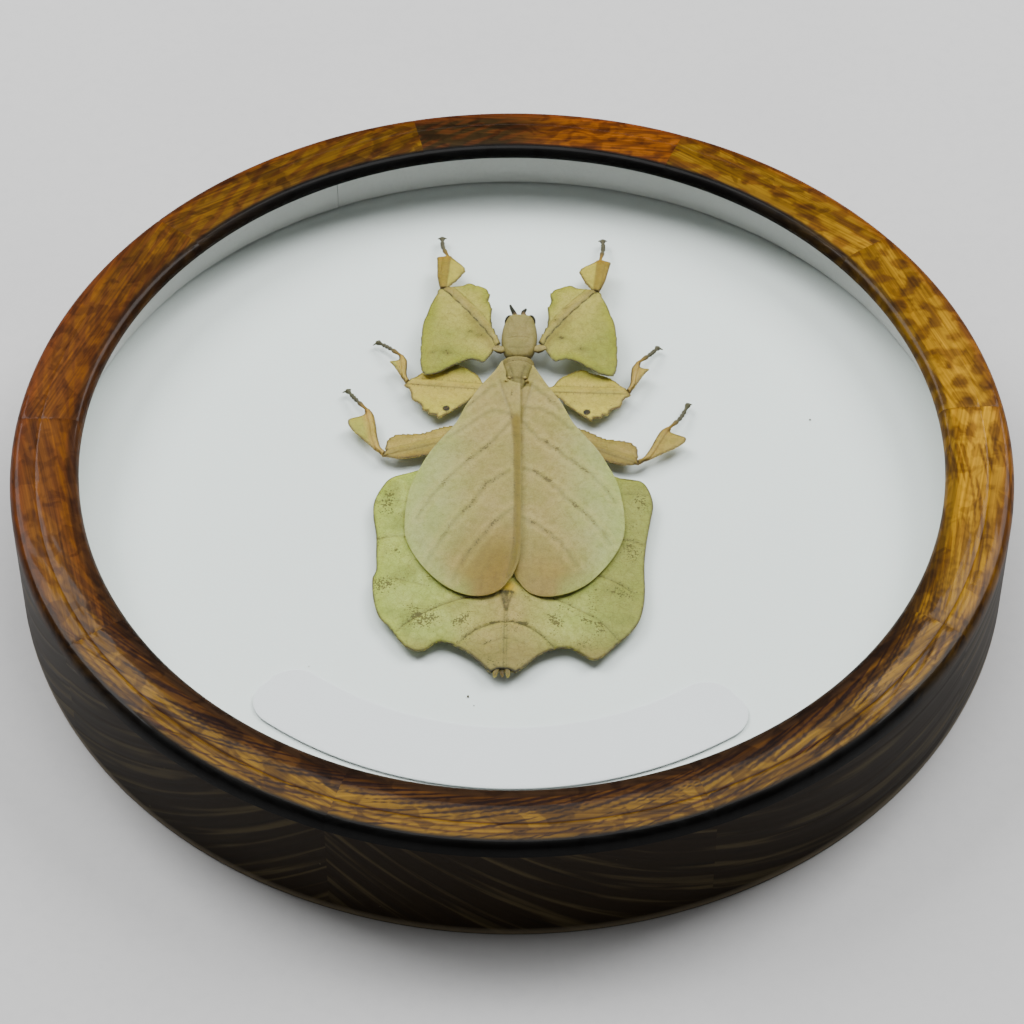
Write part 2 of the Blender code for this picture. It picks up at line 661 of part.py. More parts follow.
def abdomen_height(distance, y, share, groove):
    """Top and bottom of the abdomen: a round body in a thin leaf, slimmer towards the rear."""
    start, stop, loss = SLIMMING
    fade = 1.0 - loss * min(max((start - y) / (start - stop), 0.0), 1.0)
    top = ABDOMEN_HEIGHT + LEAF_HALF + fade * swell(distance, BACK_SWELL)
    bottom = ABDOMEN_HEIGHT - LEAF_HALF - fade * swell(distance, BELLY_SWELL)
    droop = EDGE_DROOP * share ** 3
    depth = GROOVE_DEPTH if groove and share < 1.0 else 0.0
    return top - droop - depth, bottom - droop


def tip_height(distance, y, share, groove):
    """The last segments: thicker in the middle, and thin at the margin."""
    rise = LEAF_HALF + swell(distance, TIP_SWELL)
    return ABDOMEN_HEIGHT + rise, ABDOMEN_HEIGHT - rise


def make_abdomen(parts):
    columns = (0.0, 0.1, 0.22, 0.42, 0.7, 1.0)
    stations = with_flanks(ABDOMEN_ROWS, GROOVE_FLANK)
    finish(plate("abdomen", arched_rows(ABDOMEN_ROWS, stations, columns, abdomen_height)), GREEN, parts)
    columns = (0.0, 0.35, 0.7, 1.0)
    tip = plate("abdomen_tip", arched_rows(TIP_ROWS, evenly(TIP_ROWS, 2), columns, tip_height))
    cerci = []
    distance, y, radii = CERCI
    for side in (-1, 1):
        cerci.append(ball("cercus", (midline(y) + side * distance, y, ABDOMEN_HEIGHT), radii))
    finish(joined(tip, cerci), GREEN, parts)


def wing_middle(distance, y, side):
    """Height of a forewing's middle surface. The left wing laps over the right one."""
    rear = min(max((WING_FALL[0] - y) / (WING_FALL[0] - WING_FALL[1]), 0.0), 1.0)
    crown = WING_CROWN + (WING_REAR_CROWN - WING_CROWN) * rear * rear * (3 - 2 * rear)
    reach = min(max(distance, 0.0) / WING_HALF_WIDTH, 1.0)
    lap = WING_LAP * max(1.0 - max(distance, 0.0) / WING_LAP_REACH, 0.0)
    return WING_EDGE_HEIGHT + crown * (1 - reach ** 2) + (lap if side < 0 else -lap)


def make_wing(name, side, parts):
    inner_limit = WING_OVERLAP[side]
    shares = (0.0, None, 0.2, 0.34, 0.48, 0.62, 0.76, 0.89, 1.0)
    stations = with_flanks(WING_ROWS, VEIN_FLANK)
    made = []
    for station, given in zip(stations, through(WING_ROWS, stations)):
        in_w, in_y, out_w, out_y, bow, _ = given
        vein = station == int(station) and WING_ROWS[int(station)][-1] == 1
        length = math.hypot(out_w - in_w, out_y - in_y)
        trim = max((inner_limit - in_w) / (out_w - in_w), 0.0)
        row = []
        for j, share in enumerate(shares):
            if share is None:
                share = min(MEDIAN_VEIN / length, 0.1)
            share = trim + (1 - trim) * share
            lift = 4 * bow * share * (1 - share)
            w = in_w + (out_w - in_w) * share + lift * (in_y - out_y) / length
            y = in_y + (out_y - in_y) * share + lift * (out_w - in_w) / length
            middle = wing_middle(w, y, side)
            ridge = 0.0
            if j == 1:
                ridge = VEIN_HEIGHT
            elif vein and 0 < j < len(shares) - 1:
                ridge = VEIN_HEIGHT * (1.15 - share)
            row.append((WING_AXIS + side * w, y, middle + WING_THICKNESS / 2 + ridge,
                        middle - WING_THICKNESS / 2))
        made.append(row)
    finish(cut_clear(plate(name, made), MESOTHORAX), KHAKI, parts)


def bend(before, here, after, side):
    """Half of the turn in plan from one leg piece to the next, as a slope in the leg's own frame."""
    first = math.atan2(here[1] - before[1], here[0] - before[0])
    second = math.atan2(after[1] - here[1], after[0] - here[0])
    turn = (second - first + math.pi) % (2 * math.pi) - math.pi
    return side * turn / 2


def blade(name, start, end, table, side, start_bend, end_bend, teeth=(0.0, 0.0), spread=1.0, lean=0.0):
    """A leg piece: a ridged shaft from start to end with a thin lobe on each side."""
    length = math.hypot(end[0] - start[0], end[1] - start[1])
    scale = length / table[-1][0]
    along = ((end[0] - start[0]) / length, (end[1] - start[1]) / length)
    across = (-along[1] * side, along[0] * side)
    half = LAMINA / 2

    def point(s, n, top, bottom):
        rise = start[2] + (end[2] - start[2]) * min(max(s / length, 0.0), 1.0) - LEG_DROOP * n * n
        return (start[0] + along[0] * s + across[0] * n, start[1] + along[1] * s + across[1] * n,
                rise + top, rise - bottom)

    made = []
    rows = through(table, evenly(table, 2))
    last = len(rows) - 1
    for i, (shaft_s, shaft_n, outer_s, outer_n, inner_s, inner_n) in enumerate(rows):
        shaft_s, outer_s, inner_s = shaft_s * scale, outer_s * scale + lean * outer_n, inner_s * scale
        outer_n *= spread
        if i == 0:
            shaft_s = GAP / 2 / math.cos(start_bend)
            outer_s = shaft_s + outer_n * math.tan(start_bend)
            inner_s = shaft_s + inner_n * math.tan(start_bend)
        elif i == last:
            shaft_s = length - GAP / 2 / math.cos(end_bend)
            outer_s = shaft_s - outer_n * math.tan(end_bend)
            inner_s = shaft_s - inner_n * math.tan(end_bend)
        elif i % 2 == 1 and 2 < i < last - 1:
            outer_n += teeth[0]
            inner_n -= teeth[1]
        row = []
        for edge_s, edge_n, order in ((outer_s, outer_n, (1.0, 0.55, None)),
                                      (inner_s, inner_n, (None, 0.55, 1.0))):
            for share in order:
                if share is None:
                    share = min(SHAFT_WIDTH / abs(edge_n - shaft_n), 0.5)
                row.append(point(shaft_s + (edge_s - shaft_s) * share,
                                 shaft_n + (edge_n - shaft_n) * share, half, half))
            if len(row) == len(order):
                row.append(point(shaft_s, shaft_n, SHAFT_RISE, SHAFT_DEPTH))
        made.append(row)
    return plate(name, made)


def make_leg(name, leg, anchor, parts):
    side, femur, tibia, teeth, spread, lean, socket, hip, knee, ankle, half_way, claws = leg
    hip_bend = bend(socket, hip, knee, side)
    knee_bend = bend(hip, knee, ankle, side)
    ankle_bend = bend(knee, ankle, half_way, side)

    # The coxa leaves the body's side and ends square to the femur's first face
    toward = Vector(hip) - Vector(socket)
    face = toward.normalized()
    end = Vector(hip) - face * GAP
    middle = Vector(socket) + toward * 0.6
    coxa = tube("coxa_" + name, (socket, middle, end), COXA_RADII[name.split("_")[0]])
    finish(cut_clear(coxa, anchor), OCHRE, parts)

    look = GREEN if name.startswith("front") else YELLOW
    thigh = blade("femur_" + name, hip, knee, femur, side, hip_bend, knee_bend, teeth, spread)
    finish(thigh, look, parts)
    shin = blade("tibia_" + name, knee, ankle, tibia, side, knee_bend, ankle_bend, lean=lean)
    finish(shin, OCHRE, parts)

    # The tarsus: five joints that widen toward their ends, then a pair of claws with a pad between
    path = through((ankle, half_way, claws), evenly((ankle, half_way, claws), 5))
    step = Vector(path[1]) - Vector(path[0])
    path[0] = Vector(path[0]) + step.normalized() * GAP
    base = tube("tarsus_" + name, path[:len(TARSUS_RADII)], TARSUS_RADII)
    tip = Vector(path[len(TARSUS_RADII) - 1])
    heading = (tip - Vector(path[len(TARSUS_RADII) - 3])).normalized()
    pieces = []
    for turn in (-1, 1):
        swing = turn * math.radians(CLAW_SPREAD[name])
        aim = Vector((heading.x * math.cos(swing) - heading.y * math.sin(swing),
                      heading.x * math.sin(swing) + heading.y * math.cos(swing), heading.z))
        root = tip - heading * 0.2
        bent = root + aim * CLAW_LENGTH * 0.6
        point = root + aim * CLAW_LENGTH + Vector((0, 0, -0.25))
        pieces.append(tube("claw", (root, bent, point), CLAW_RADII))
    pieces.append(ball("pad", tip + heading * GAP, PAD_RADII, 8, 5))
    finish(joined(base, pieces), SLATE, parts)


def make_head(parts):
    finish(body("head", HEAD), KHAKI, parts)
    for side, word in ((-1, "left"), (1, "right")):
        y, z = EYE_PLACE
        eye = ball("eye_" + word, (midline(y) + side * EYE_OFFSET, y, z), EYE_RADII)
        finish(cut_clear(eye, HEAD), DARK, parts)
        path = through(ANTENNAE[word], evenly(ANTENNAE[word], 3))
        finish(tube("antenna_" + word, path, ANTENNA_RADII), SLATE, parts)


def make_thorax(parts):
    finish(body("pronotum", PRONOTUM), KHAKI, parts)
    finish(body("metathorax", METATHORAX), KHAKI, parts)
    spines = []
    for distance, y, length in THORAX_SPINES:
        for side in (-1, 1):
            x = midline(y) + side * distance
            root = (x - side * SPINE_LEAN, y, SPINE_ROOT)
            tip = (x, y, SPINE_ROOT + length)
            spines.append(tube("spine", (root, tip), SPINE_RADII))
    finish(joined(body("mesothorax", MESOTHORAX), spines), KHAKI, parts)


def main():
    clear_scene()
    parts = collection("leaf_insect")
    make_frame(parts)
    make_label(parts)
    make_head(parts)
    make_thorax(parts)
    make_abdomen(parts)
    make_wing("tegmen_left", -1, parts)
    make_wing("tegmen_right", 1, parts)
    anchors = {"front": PRONOTUM, "middle": MESOTHORAX, "hind": METATHORAX}
    for name, leg in LEGS.items():
        make_leg(name, leg, anchors[name.split("_")[0]], parts)


main()
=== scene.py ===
import collections
import math

import bmesh
import bpy
import numpy as np
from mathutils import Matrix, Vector, kdtree


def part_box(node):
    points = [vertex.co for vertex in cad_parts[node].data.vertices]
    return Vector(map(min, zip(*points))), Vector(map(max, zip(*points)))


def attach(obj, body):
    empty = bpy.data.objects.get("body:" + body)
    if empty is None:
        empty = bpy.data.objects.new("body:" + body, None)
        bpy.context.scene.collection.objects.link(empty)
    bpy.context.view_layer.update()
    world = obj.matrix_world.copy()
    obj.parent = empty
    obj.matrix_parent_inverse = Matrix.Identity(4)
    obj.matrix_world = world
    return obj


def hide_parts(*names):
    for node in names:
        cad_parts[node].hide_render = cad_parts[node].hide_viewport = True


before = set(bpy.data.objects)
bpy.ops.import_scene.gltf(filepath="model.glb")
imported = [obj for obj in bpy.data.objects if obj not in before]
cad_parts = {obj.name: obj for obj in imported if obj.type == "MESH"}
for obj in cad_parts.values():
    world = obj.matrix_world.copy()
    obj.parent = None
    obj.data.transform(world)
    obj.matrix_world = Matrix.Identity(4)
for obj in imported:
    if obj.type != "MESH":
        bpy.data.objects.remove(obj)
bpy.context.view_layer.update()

# The looks of a mounted leaf insect: finer shapes, materials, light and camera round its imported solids.
# Sizes are in millimetres and become metres where a mesh is made. Z is up, the origin is the middle of
# the frame's underside, and the insect's head points along +Y. Its left is at -X.
MM = 0.001
SIDES = {-1: "left", 1: "right"}

# The frame's places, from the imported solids
FRAME_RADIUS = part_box("frame_ring")[1].x / MM
FRAME_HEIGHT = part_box("frame_ring")[1].z / MM
BOARD_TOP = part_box("backing_board")[1].z / MM
LINING_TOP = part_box("lining_ring")[1].z / MM
LINING_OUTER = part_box("lining_ring")[1].x / MM
LINING_INNER = 78.9
REBATE_RADIUS = 80.6
LIP_RADIUS = 74.6
LIP_UNDERSIDE = 22

# The ring's face and lip as (radius, z), from its outer foot over the top to the lip's underside
RING_PROFILE = (
    (FRAME_RADIUS - 0.4, 0), (FRAME_RADIUS, 0.4), (FRAME_RADIUS, 6), (FRAME_RADIUS, 12),
    (FRAME_RADIUS, 18), (FRAME_RADIUS, 20.8), (86.44, 21.8), (86.3, 22.4), (86, 22.95), (85.6, 23.3),
    (85.1, 23.48), (84.4, 23.56), (83.7, 23.62), (82.9, 23.68), (82.2, 23.73), (81.95, 23.69), (81.7, 23.74),
    (81.2, 23.8), (80.5, 23.86), (79.6, 23.94), (78.6, FRAME_HEIGHT), (77.9, FRAME_HEIGHT), (77.4, 23.97),
    (77, 23.91), (76.4, 23.83), (75.8, 23.72), (75.3, 23.45), (74.95, 23.05), (74.7, 22.55),
    (LIP_RADIUS, LIP_UNDERSIDE),
)
RING_CREASE = 60  # the ring's edges are sharp where they turn more than this, in degrees
WALL_TOP = 21  # where the ring's dark side ends
FACE_FROM = 20  # where the grooves of its glued joints start
# Where the ring's ten segments meet, in degrees round it
JOINTS = (6, 37, 68, 102.5, 139, 176, 212, 250, 292, 330)

# The lining's seam in degrees round the frame, and the gap under what lies on the board
LINING_SEAM = 114.5
BOARD_GAP = 0.3
# Crumbs on the board: x, y and size
CRUMBS = ((-7.3, -46.7, 0.28), (-6.3, -48.6, 0.16), (53.1, 16.7, 0.2), (-34, -40.2, 0.1),
          (41, -30.5, 0.1))

# The bare label
LABEL_INNER = 53.5
LABEL_OUTER = 66.2
LABEL_FROM = math.radians(-133)
LABEL_TO = math.radians(-51.5)
LABEL_CORNER = 5.2
LABEL_THICKNESS = 0.25

# The insect's midline runs a little askew to the frame
HEAD_Y = 34.6
HEAD_X = 1.35
ASKEW = 0.0387

# Heights of the insect over the frame's underside
ABDOMEN_HEIGHT = 13.85
WING_EDGE_HEIGHT = 14.9
WING_CROWN = 1.1
WING_REAR_CROWN = 0.5
WING_FALL = (-8, -26)  # from where to where along Y the wings' backs get flatter
WING_LAP = 0.55
WING_LAP_REACH = 7
WING_AXIS = 0.45
WING_HALF_WIDTH = 19.5
WING_OVERLAP = {-1: -1.05, 1: -0.1}  # how far each wing reaches over the wings' axis
WING_SETTLE = 0.5  # how far the margin sinks to the abdomen
EYE_HEIGHT = 15.35
TUBERCLE_ROOT = 16.35

# The body from the head to the metathorax as stations: y, half width, height of the middle, half height
BODY = (
    (39.5, 1.3, 14.95, 0.35),
    (39.35, 1.95, 14.95, 0.8),
    (38.9, 2.3, 14.95, 1.15),
    (38, 2.62, 14.95, 1.4),
    (36.5, 2.98, 14.95, 1.6),
    (34.9, 3.18, 14.95, 1.68),
    (33.4, 3.22, 14.95, 1.66),
    (31.8, 3.1, 14.95, 1.62),
    (30.4, 2.78, 14.9, 1.55),
    (29.4, 2.3, 14.85, 1.45),
    (28.75, 1.75, 14.7, 1.2),
    (28.45, 1.45, 14.5, 0.85),
    (28.2, 1.6, 14.5, 1),
    (27.98, 2.6, 14.5, 1.8),
    (27.6, 2.92, 14.5, 2.3),
    (27, 2.9, 14.5, 2.42),
    (26, 2.75, 14.5, 2.45),
    (24, 2.25, 14.5, 2.4),
    (22.6, 2, 14.4, 2.3),
    (21.2, 2, 14.1, 1.9),
    (20, 2.4, 13.7, 1.4),
    (16, 3.4, 13.5, 1.4),
    (11.5, 4.8, 13.4, 1.3),
)
# Tubercles on the mesothorax: distance from the midline, y, height
TUBERCLES = ((2.1, 21.7, 0.6), (1.7, 22.6, 0.35))

# Each eye curves round the front corner of the head: distances from the midline, and y
EYE_ARC = ((2.72, 37.3), (2.6, 38.1), (2.25, 38.85), (1.6, 39.35))
# Furrows and ridges of the head and thorax: the line, half width, depth (less than 0 for a ridge), darkness
BODY_LINES = (
    (((-1.2, 33.4), (1.3, 33.6), (3.8, 33.4)), 0.3, 0.05, 0.1),
    (((-0.7, 32.8), (1.25, 32.9), (3.1, 32.8)), 0.15, 0.1, 0.55),
    (((-2.2, 31.6), (-1.7, 29.9), (-0.6, 28.8)), 0.25, 0.08, 0.25),
    (((4.7, 31.6), (4.1, 29.9), (2.9, 28.8)), 0.25, 0.08, 0.25),
    (((1.3, 33.7), (1.2, 31), (1.05, 28.7)), 0.13, 0.12, 0.45),
    (((-0.6, 30.5), (1.2, 30.25), (3, 30.5)), 0.2, 0.07, 0.25),
    (((-2.2, 28.45), (1.1, 28.3), (4.4, 28.45)), 0.36, 0.2, 1.3),
    (((-1.6, 27.1), (1.1, 27.25), (3.9, 27.1)), 0.3, -0.16, 0),
    (((-1.3, 26.3), (1.1, 26.5), (3.5, 26.3)), 0.18, 0.1, 0.3),
    (((-0.8, 22.6), (1, 22.3), (2.7, 22.6)), 0.18, 0.08, 0.35),
    (((1.05, 26.4), (0.95, 24), (0.85, 21.6)), 0.2, -0.12, 0),
    (((-1.4, 26), (-0.9, 23.6), (-0.75, 21.4)), 0.24, -0.16, 0),
    (((3.5, 26), (2.9, 23.6), (2.6, 21.4)), 0.24, -0.16, 0),
    (((-0.4, 25.3), (0.1, 23.4), (0.1, 21.6)), 0.22, 0.12, 0.55),
    (((2.4, 25.3), (1.8, 23.4), (1.7, 21.6)), 0.22, 0.12, 0.55),
    (((1.4, 39), (1.35, 37), (1.3, 34.4)), 0.16, 0.05, 0.2),
    (((-0.5, 38.4), (0.2, 36.8), (0.4, 34.9)), 0.2, 0.07, 0.3),
    (((3.4, 38.4), (2.6, 36.8), (2.3, 34.9)), 0.2, 0.07, 0.3),
)

# Abdomen rows: y at the midline, left margin x and y, right margin x and y
ABDOMEN_ROWS = (
    (11.2, -4.3, 11.2, 5.4, 11.2),
    (8, -7, 7.8, 9.2, 7.2),
    (5.5, -12, 4.4, 14.5, 3.2),
    (3.5, -17.3, 2.4, 19.6, 0.5),
    (1.5, -21, 1, 22.4, 0.1),
    (-1, -22.7, -1.4, 23.8, -2),
    (-4.5, -23.9, -4.7, 24.5, -5.4),
    (-8.5, -24, -8, 24, -9),
    (-12.5, -23.4, -12.6, 23.2, -13.9),
    (-16.5, -23.3, -17, 22.7, -18.5),
    (-20, -23.2, -20.4, 22.6, -22),
    (-22, -23.8, -22.7, 22.6, -25),
    (-24.5, -23.5, -27, 22.3, -28.5),
    (-26.7, -22.5, -30.8, 21.4, -32),
    (-28.5, -20.6, -33.4, 19.6, -34.9),
    (-29.5, -18.6, -36.6, 17.6, -37),
    (-30.3, -16.6, -38.2, 15.6, -39.4),
    (-31, -14.7, -38.2, 13.5, -40.4),
    (-31.7, -12.6, -36.6, 11.5, -39.1),
    (-32.3, -11, -36.6, 9.5, -37.8),
    (-32.9, -9.5, -37.5, 7.2, -38.05),
    (-35.5, -7.6, -38.8, 5.2, -39.1),
    (-38, -6, -40.3, 3.6, -40.4),
    (-40.5, -4.6, -42, 1.9, -42.2),
    (-42.6, -3.6, -43.2, 0.5, -43.2),
)
# Lines on the abdomen where its segments meet, and how dark each is
SUTURES = (
    (((-23.6, -5), (-21, -4.6), (-17.6, -4.9)), 0.45),
    (((-23.3, -13.6), (-21, -13), (-18, -13)), 0.7),
    (((17.6, -13.8), (20.5, -14), (23.1, -15.2)), 0.75),
    (((19.6, -3.3), (22, -3.2), (24.3, -3.6)), 0.4),
    (((-23.7, -22.8), (-20.5, -22.5), (-17, -23.4), (-14.5, -24.3)), 0.4),
    (((13.4, -21.6), (15.8, -22.4), (18.2, -23.8), (20.8, -26)), 0.7),
    (((-19.4, -34.2), (-17.6, -32.2), (-14, -29.7), (-9.5, -27.6), (-4.5, -26.3)), 0.8),
    (((3.4, -26.2), (7, -27.2), (11.5, -29.8), (15, -32.4), (18.4, -36.9)), 0.6),
    (((-9.6, -37.5), (-6.4, -34.3), (-3.2, -32.9), (-1, -32.6), (1.2, -32.9), (4.2, -34.6), (7.3, -38.1)),
     0.95),
    (((-1.25, -26), (-1.3, -33), (-1.5, -42.8)), 0.55),
    (((-0.75, -26), (-0.8, -33), (-1, -42.8)), 0.45),
    (((-4.6, -37.3), (-1.1, -36.2), (2.4, -37.3)), 0.35),
)
# Clusters of dark flecks on the abdomen: x, y, half length, half width, turn in degrees, density
FLECKS = (
    (-8.9, -31.9, 2.1, 1.1, 35, 1.15), (7.4, -32.1, 2.1, 1, -35, 1.15),
    (-15.8, -32.9, 1.9, 1.2, 30, 0.8), (-13, -31.2, 1, 1.4, 10, 0.55),
    (12.2, -32, 1.2, 0.8, -25, 0.8), (14.8, -33.6, 1, 1.3, 0, 0.95),
    (10, -30.6, 2, 1, -35, 0.4), (-20.4, -16.4, 1.3, 1.4, 0, 0.75),
    (-21.3, -2.6, 1.6, 1.5, 20, 0.7), (22.2, -4.9, 1.2, 1.8, 0, 0.75),
    (22.6, -1.6, 1.3, 0.8, 0, 0.75), (-21.6, -23.8, 3, 1.5, -10, 0.7),
    (-19.8, -8, 1.4, 1.8, 30, 0.5), (17.5, -25.3, 2.6, 1.2, -30, 0.7),
    (20.4, -16.5, 1.5, 2.5, 20, 0.5), (13, -25, 3, 1.4, -30, 0.45),
    (-16.5, -30, 1.5, 2.4, 30, 0.4), (20.5, -10.5, 1.5, 1.5, 0, 0.35),
    (-4.2, -37, 1.1, 0.3, 30, 0.9), (1.2, -36.5, 0.5, 0.6, 0, 0.9),
    (-3.4, -32.7, 1.3, 0.25, 5, 1.2), (1.9, -32.8, 0.9, 0.25, -5, 1.2),
)
# The dark mark behind the wings' tips: strokes that come to a point
MARK_STROKES = (
    ((-1.75, -26.1), (-1.5, -28), (-1.05, -29.9)),
    ((0.1, -26.1), (-0.45, -28), (-0.95, -29.9)),
    ((-1.9, -26), (-0.9, -25.9), (0.2, -26.1)),
    ((-0.9, -26.1), (-0.95, -28)),
)

# Forewing rows: inner edge, distance from the wings' axis and y; outer edge, the same; how far it bows
WING_ROWS = (
    (2.5, 27, 3.15, 26.8, 0),
    (2.3, 25.8, 3.9, 25.3, 0),
    (1.85, 24.2, 5.2, 22.7, 0),
    (1.7, 22.7, 6.7, 19.9, 0.2),
    (0.3, 21.6, 8.5, 16.6, 0.6),
    (-1.05, 21, 10.4, 12.2, 1.2),
    (-1.05, 19.5, 14, 6.8, 1.6),
    (-1.05, 16.5, 16.2, 3, 1.9),
    (-1.05, 14.2, 17.9, -1.2, 2.3),
    (-1.05, 11.8, 18.8, -6.5, 2.7),
    (-1.05, 9.4, 18.95, -11.8, 3),
    (-1.05, 6, 18.2, -15.4, 2.4),
    (-1.05, 2.6, 16.6, -18.9, 1.8),
    (-1.05, -2.5, 14.5, -22.1, 1.5),
    (-1.05, -7.5, 12.1, -24.7, 1.3),
    (-1.05, -12, 9.4, -26.5, 1),
    (-1.05, -15.5, 6.8, -27.3, 0.6),
    (-0.95, -18.5, 4.5, -27.2, 0.4),
    (-0.45, -21.3, 2.7, -26.4, 0.2),
    (0.35, -23.6, 1.5, -25.4, 0),
)
# Veins of each forewing as seen from above, each with the stretches along it that are dark with flecks
VEINS = {
    -1: (
        (((-0.2, 13.4), (-3, 14.6), (-5.2, 13.7), (-8.3, 11), (-11.4, 8.6)), ((0.15, 0.5, 0.35),)),
        (((-0.4, 11.6), (-3.3, 7.4), (-6.5, 4.2), (-9.2, 1.4), (-11.6, -1.7), (-13.7, -4.7), (-16.4, -9.8)),
         ((0.18, 0.45, 1), (0.58, 0.72, 0.75), (0.85, 1, 0.6))),
        (((-0.6, 0), (-2.7, -1.7), (-4.6, -2.9), (-6.6, -6.6), (-9.8, -10.8), (-12.3, -15.4),
          (-14.9, -20.4)),
         ((0.03, 0.27, 1), (0.32, 0.55, 1), (0.6, 0.82, 0.55))),
        (((0.4, -8.7), (-2.9, -11.6), (-5.4, -15.2), (-8, -19.1), (-10.2, -24.2)),
         ((0.12, 0.42, 0.95), (0.45, 0.78, 0.8))),
        (((-3.2, 21), (-5.4, 18.6), (-8.6, 15.4), (-10.4, 12)), ((0.2, 0.8, 0.45),)),
    ),
    1: (
        (((2.1, 12.4), (4, 9.3), (6.6, 6.7), (10.3, 3.2), (14, -0.3), (17.9, -5.7)),
         ((0.2, 0.42, 1), (0.5, 0.72, 0.85), (0.85, 1, 0.5))),
        (((2.1, 1.4), (4.2, 0.3), (7, -2.6), (9.9, -6.4), (13.4, -10.2), (16.9, -15.6)),
         ((0.03, 0.3, 1), (0.48, 0.82, 0.9))),
        (((1.9, -10.1), (4.6, -12.1), (7.4, -14.9), (9.3, -17.6), (11, -21)),
         ((0.03, 0.2, 0.9), (0.25, 0.55, 0.95), (0.55, 0.9, 0.6))),
        (((2.2, 16), (5.2, 15.4), (8, 13.2), (10.6, 10.6)), ((0.2, 0.75, 0.4),)),
        (((3.8, 21.2), (6.2, 18.4), (8.6, 15.4)), ((0.1, 0.8, 0.45),)),
    ),
}
# The edge of the raised band on the left wing: distances behind the origin, and x there
WING_BAND = ((-13.4, -5.7, 6.2, 16.5, 23.5), (-0.1, 0.4, 0.5, 0.3, -0.8))
# A fold from the mesothorax to where the two wings meet
FOLDS = {-1: ((-2.1, 22), (-1.2, 18.3), (-0.4, 15.1), (-0.1, 13)),
         1: ((3.6, 22), (2.8, 18.6), (2.1, 15.1), (1.8, 12.6))}

# Leg pieces as rows: the shaft's crest along and across, then the hind or outer margin and the fore or
# inner margin, each along and across
FRONT_FEMUR = (
    (0, 0, 0, 0.8, 0, -0.85),
    (0.5, -0.1, -0.9, 1.8, 1.3, -1.25),
    (0.9, -0.2, -1.8, 4.1, 2.5, -1.6),
    (1.3, -0.3, -0.9, 4.75, 3.7, -1.85),
    (1.7, -0.4, 0.1, 5.8, 5, -2.2),
    (2.2, -0.5, 0.5, 8, 6.3, -2.95),
    (2.8, -0.55, 0.6, 10.6, 7.6, -3.8),
    (3.4, -0.6, 0.9, 12.9, 9, -4.8),
    (4.4, -0.65, 2.1, 14.4, 10.6, -5.15),
    (6, -0.7, 4.4, 13.5, 11.7, -6.2),
    (8.5, -0.7, 8.2, 11, 13.2, -6.55),
    (11, -0.6, 11.8, 8.2, 14.6, -5.7),
    (13.4, -0.45, 14.5, 5.2, 16.1, -4.7),
    (15.6, -0.25, 16.4, 2.7, 16.3, -3.2),
    (17.5, 0, 17.5, 0.7, 17.5, -0.8),
)
MIDDLE_FEMUR = (
    (0, 0, 0, 0.7, 0, -0.7),
    (1, 0, 1.3, 1.1, 1.3, -0.9),
    (2.2, 0, 2.7, 2.4, 2.4, -2.6),
    (3.6, 0, 4.2, 4.2, 3.9, -3.8),
    (5, 0, 5.8, 5.7, 5.3, -4.7),
    (6.3, 0, 7.2, 6.95, 6.7, -5.2),
    (7.6, 0, 8.3, 7.55, 8.2, -4.4),
    (9, 0, 9.7, 7.1, 9.8, -3.95),
    (10.5, 0, 11.4, 6, 11.4, -3.3),
    (11.8, 0, 12.2, 4.85, 12.6, -2.4),
    (13, 0, 13.6, 3.7, 13.4, -1.5),
    (13.9, 0, 14.1, 2.4, 14, -1),
    (14.8, 0, 14.8, 0.8, 14.8, -0.6),
)
HIND_FEMUR = (
    (0, 0, 0, 0.7, 0, -0.7),
    (1.2, 0, 1.4, 1.1, 1.3, -1.2),
    (2.6, 0, 3, 1.8, 2.6, -2.1),
    (4, 0, 4.6, 2.2, 3.8, -2.75),
    (5.6, 0, 6.2, 2.45, 5.3, -3),
    (7.4, 0, 8, 2.55, 7.4, -2.8),
    (9.4, 0, 10, 2.6, 9.6, -2.65),
    (11.2, 0, 12, 2.5, 11.5, -3.1),
    (12.8, 0, 13.6, 2.3, 13.2, -3.55),
    (14.2, 0, 15, 2.05, 14.6, -3.5),
    (15.4, 0, 16.1, 1.5, 15.8, -2.8),
    (16.2, 0, 16.7, 1.1, 16.4, -1.6),
    (17.1, 0, 17.1, 0.7, 17.1, -0.6),
)
FRONT_TIBIA = (
    (0, 0, 0, 0.6, 0, -0.6),
    (0.9, 0, 0.9, 0.9, 1.2, -1.3),
    (2, 0, 2.2, 1.2, 2.4, -2.2),
    (3.2, 0, 3.6, 1.5, 4, -2.9),
    (4.6, 0, 5.2, 1.65, 5.3, -3.5),
    (6, 0, 6.6, 1.8, 6.6, -3.1),
    (7.4, 0, 7.9, 1.9, 7.8, -1.9),
    (8.5, 0, 8.9, 1.9, 8.6, -1.1),
    (9.3, 0, 9.3, 0.45, 9.3, -0.45),
)
MIDDLE_TIBIA = (
    (0, 0, 0, 0.5, 0, -0.45),
    (1.2, 0.35, 1.1, 0.85, 1.3, -0.1),
    (2.4, 0.3, 2.5, 1.15, 2.4, -0.15),
    (3.8, 0.1, 4, 1.5, 3.8, -0.45),
    (5, 0, 5.4, 1.9, 5, -0.7),
    (5.8, 0, 6.4, 2.25, 5.8, -0.8),
    (6.3, 0, 6.35, 1.3, 6.3, -0.75),
    (6.7, 0, 6.6, 0.55, 6.8, -0.6),
    (7.6, 0, 7.6, 0.4, 7.6, -0.4),
)
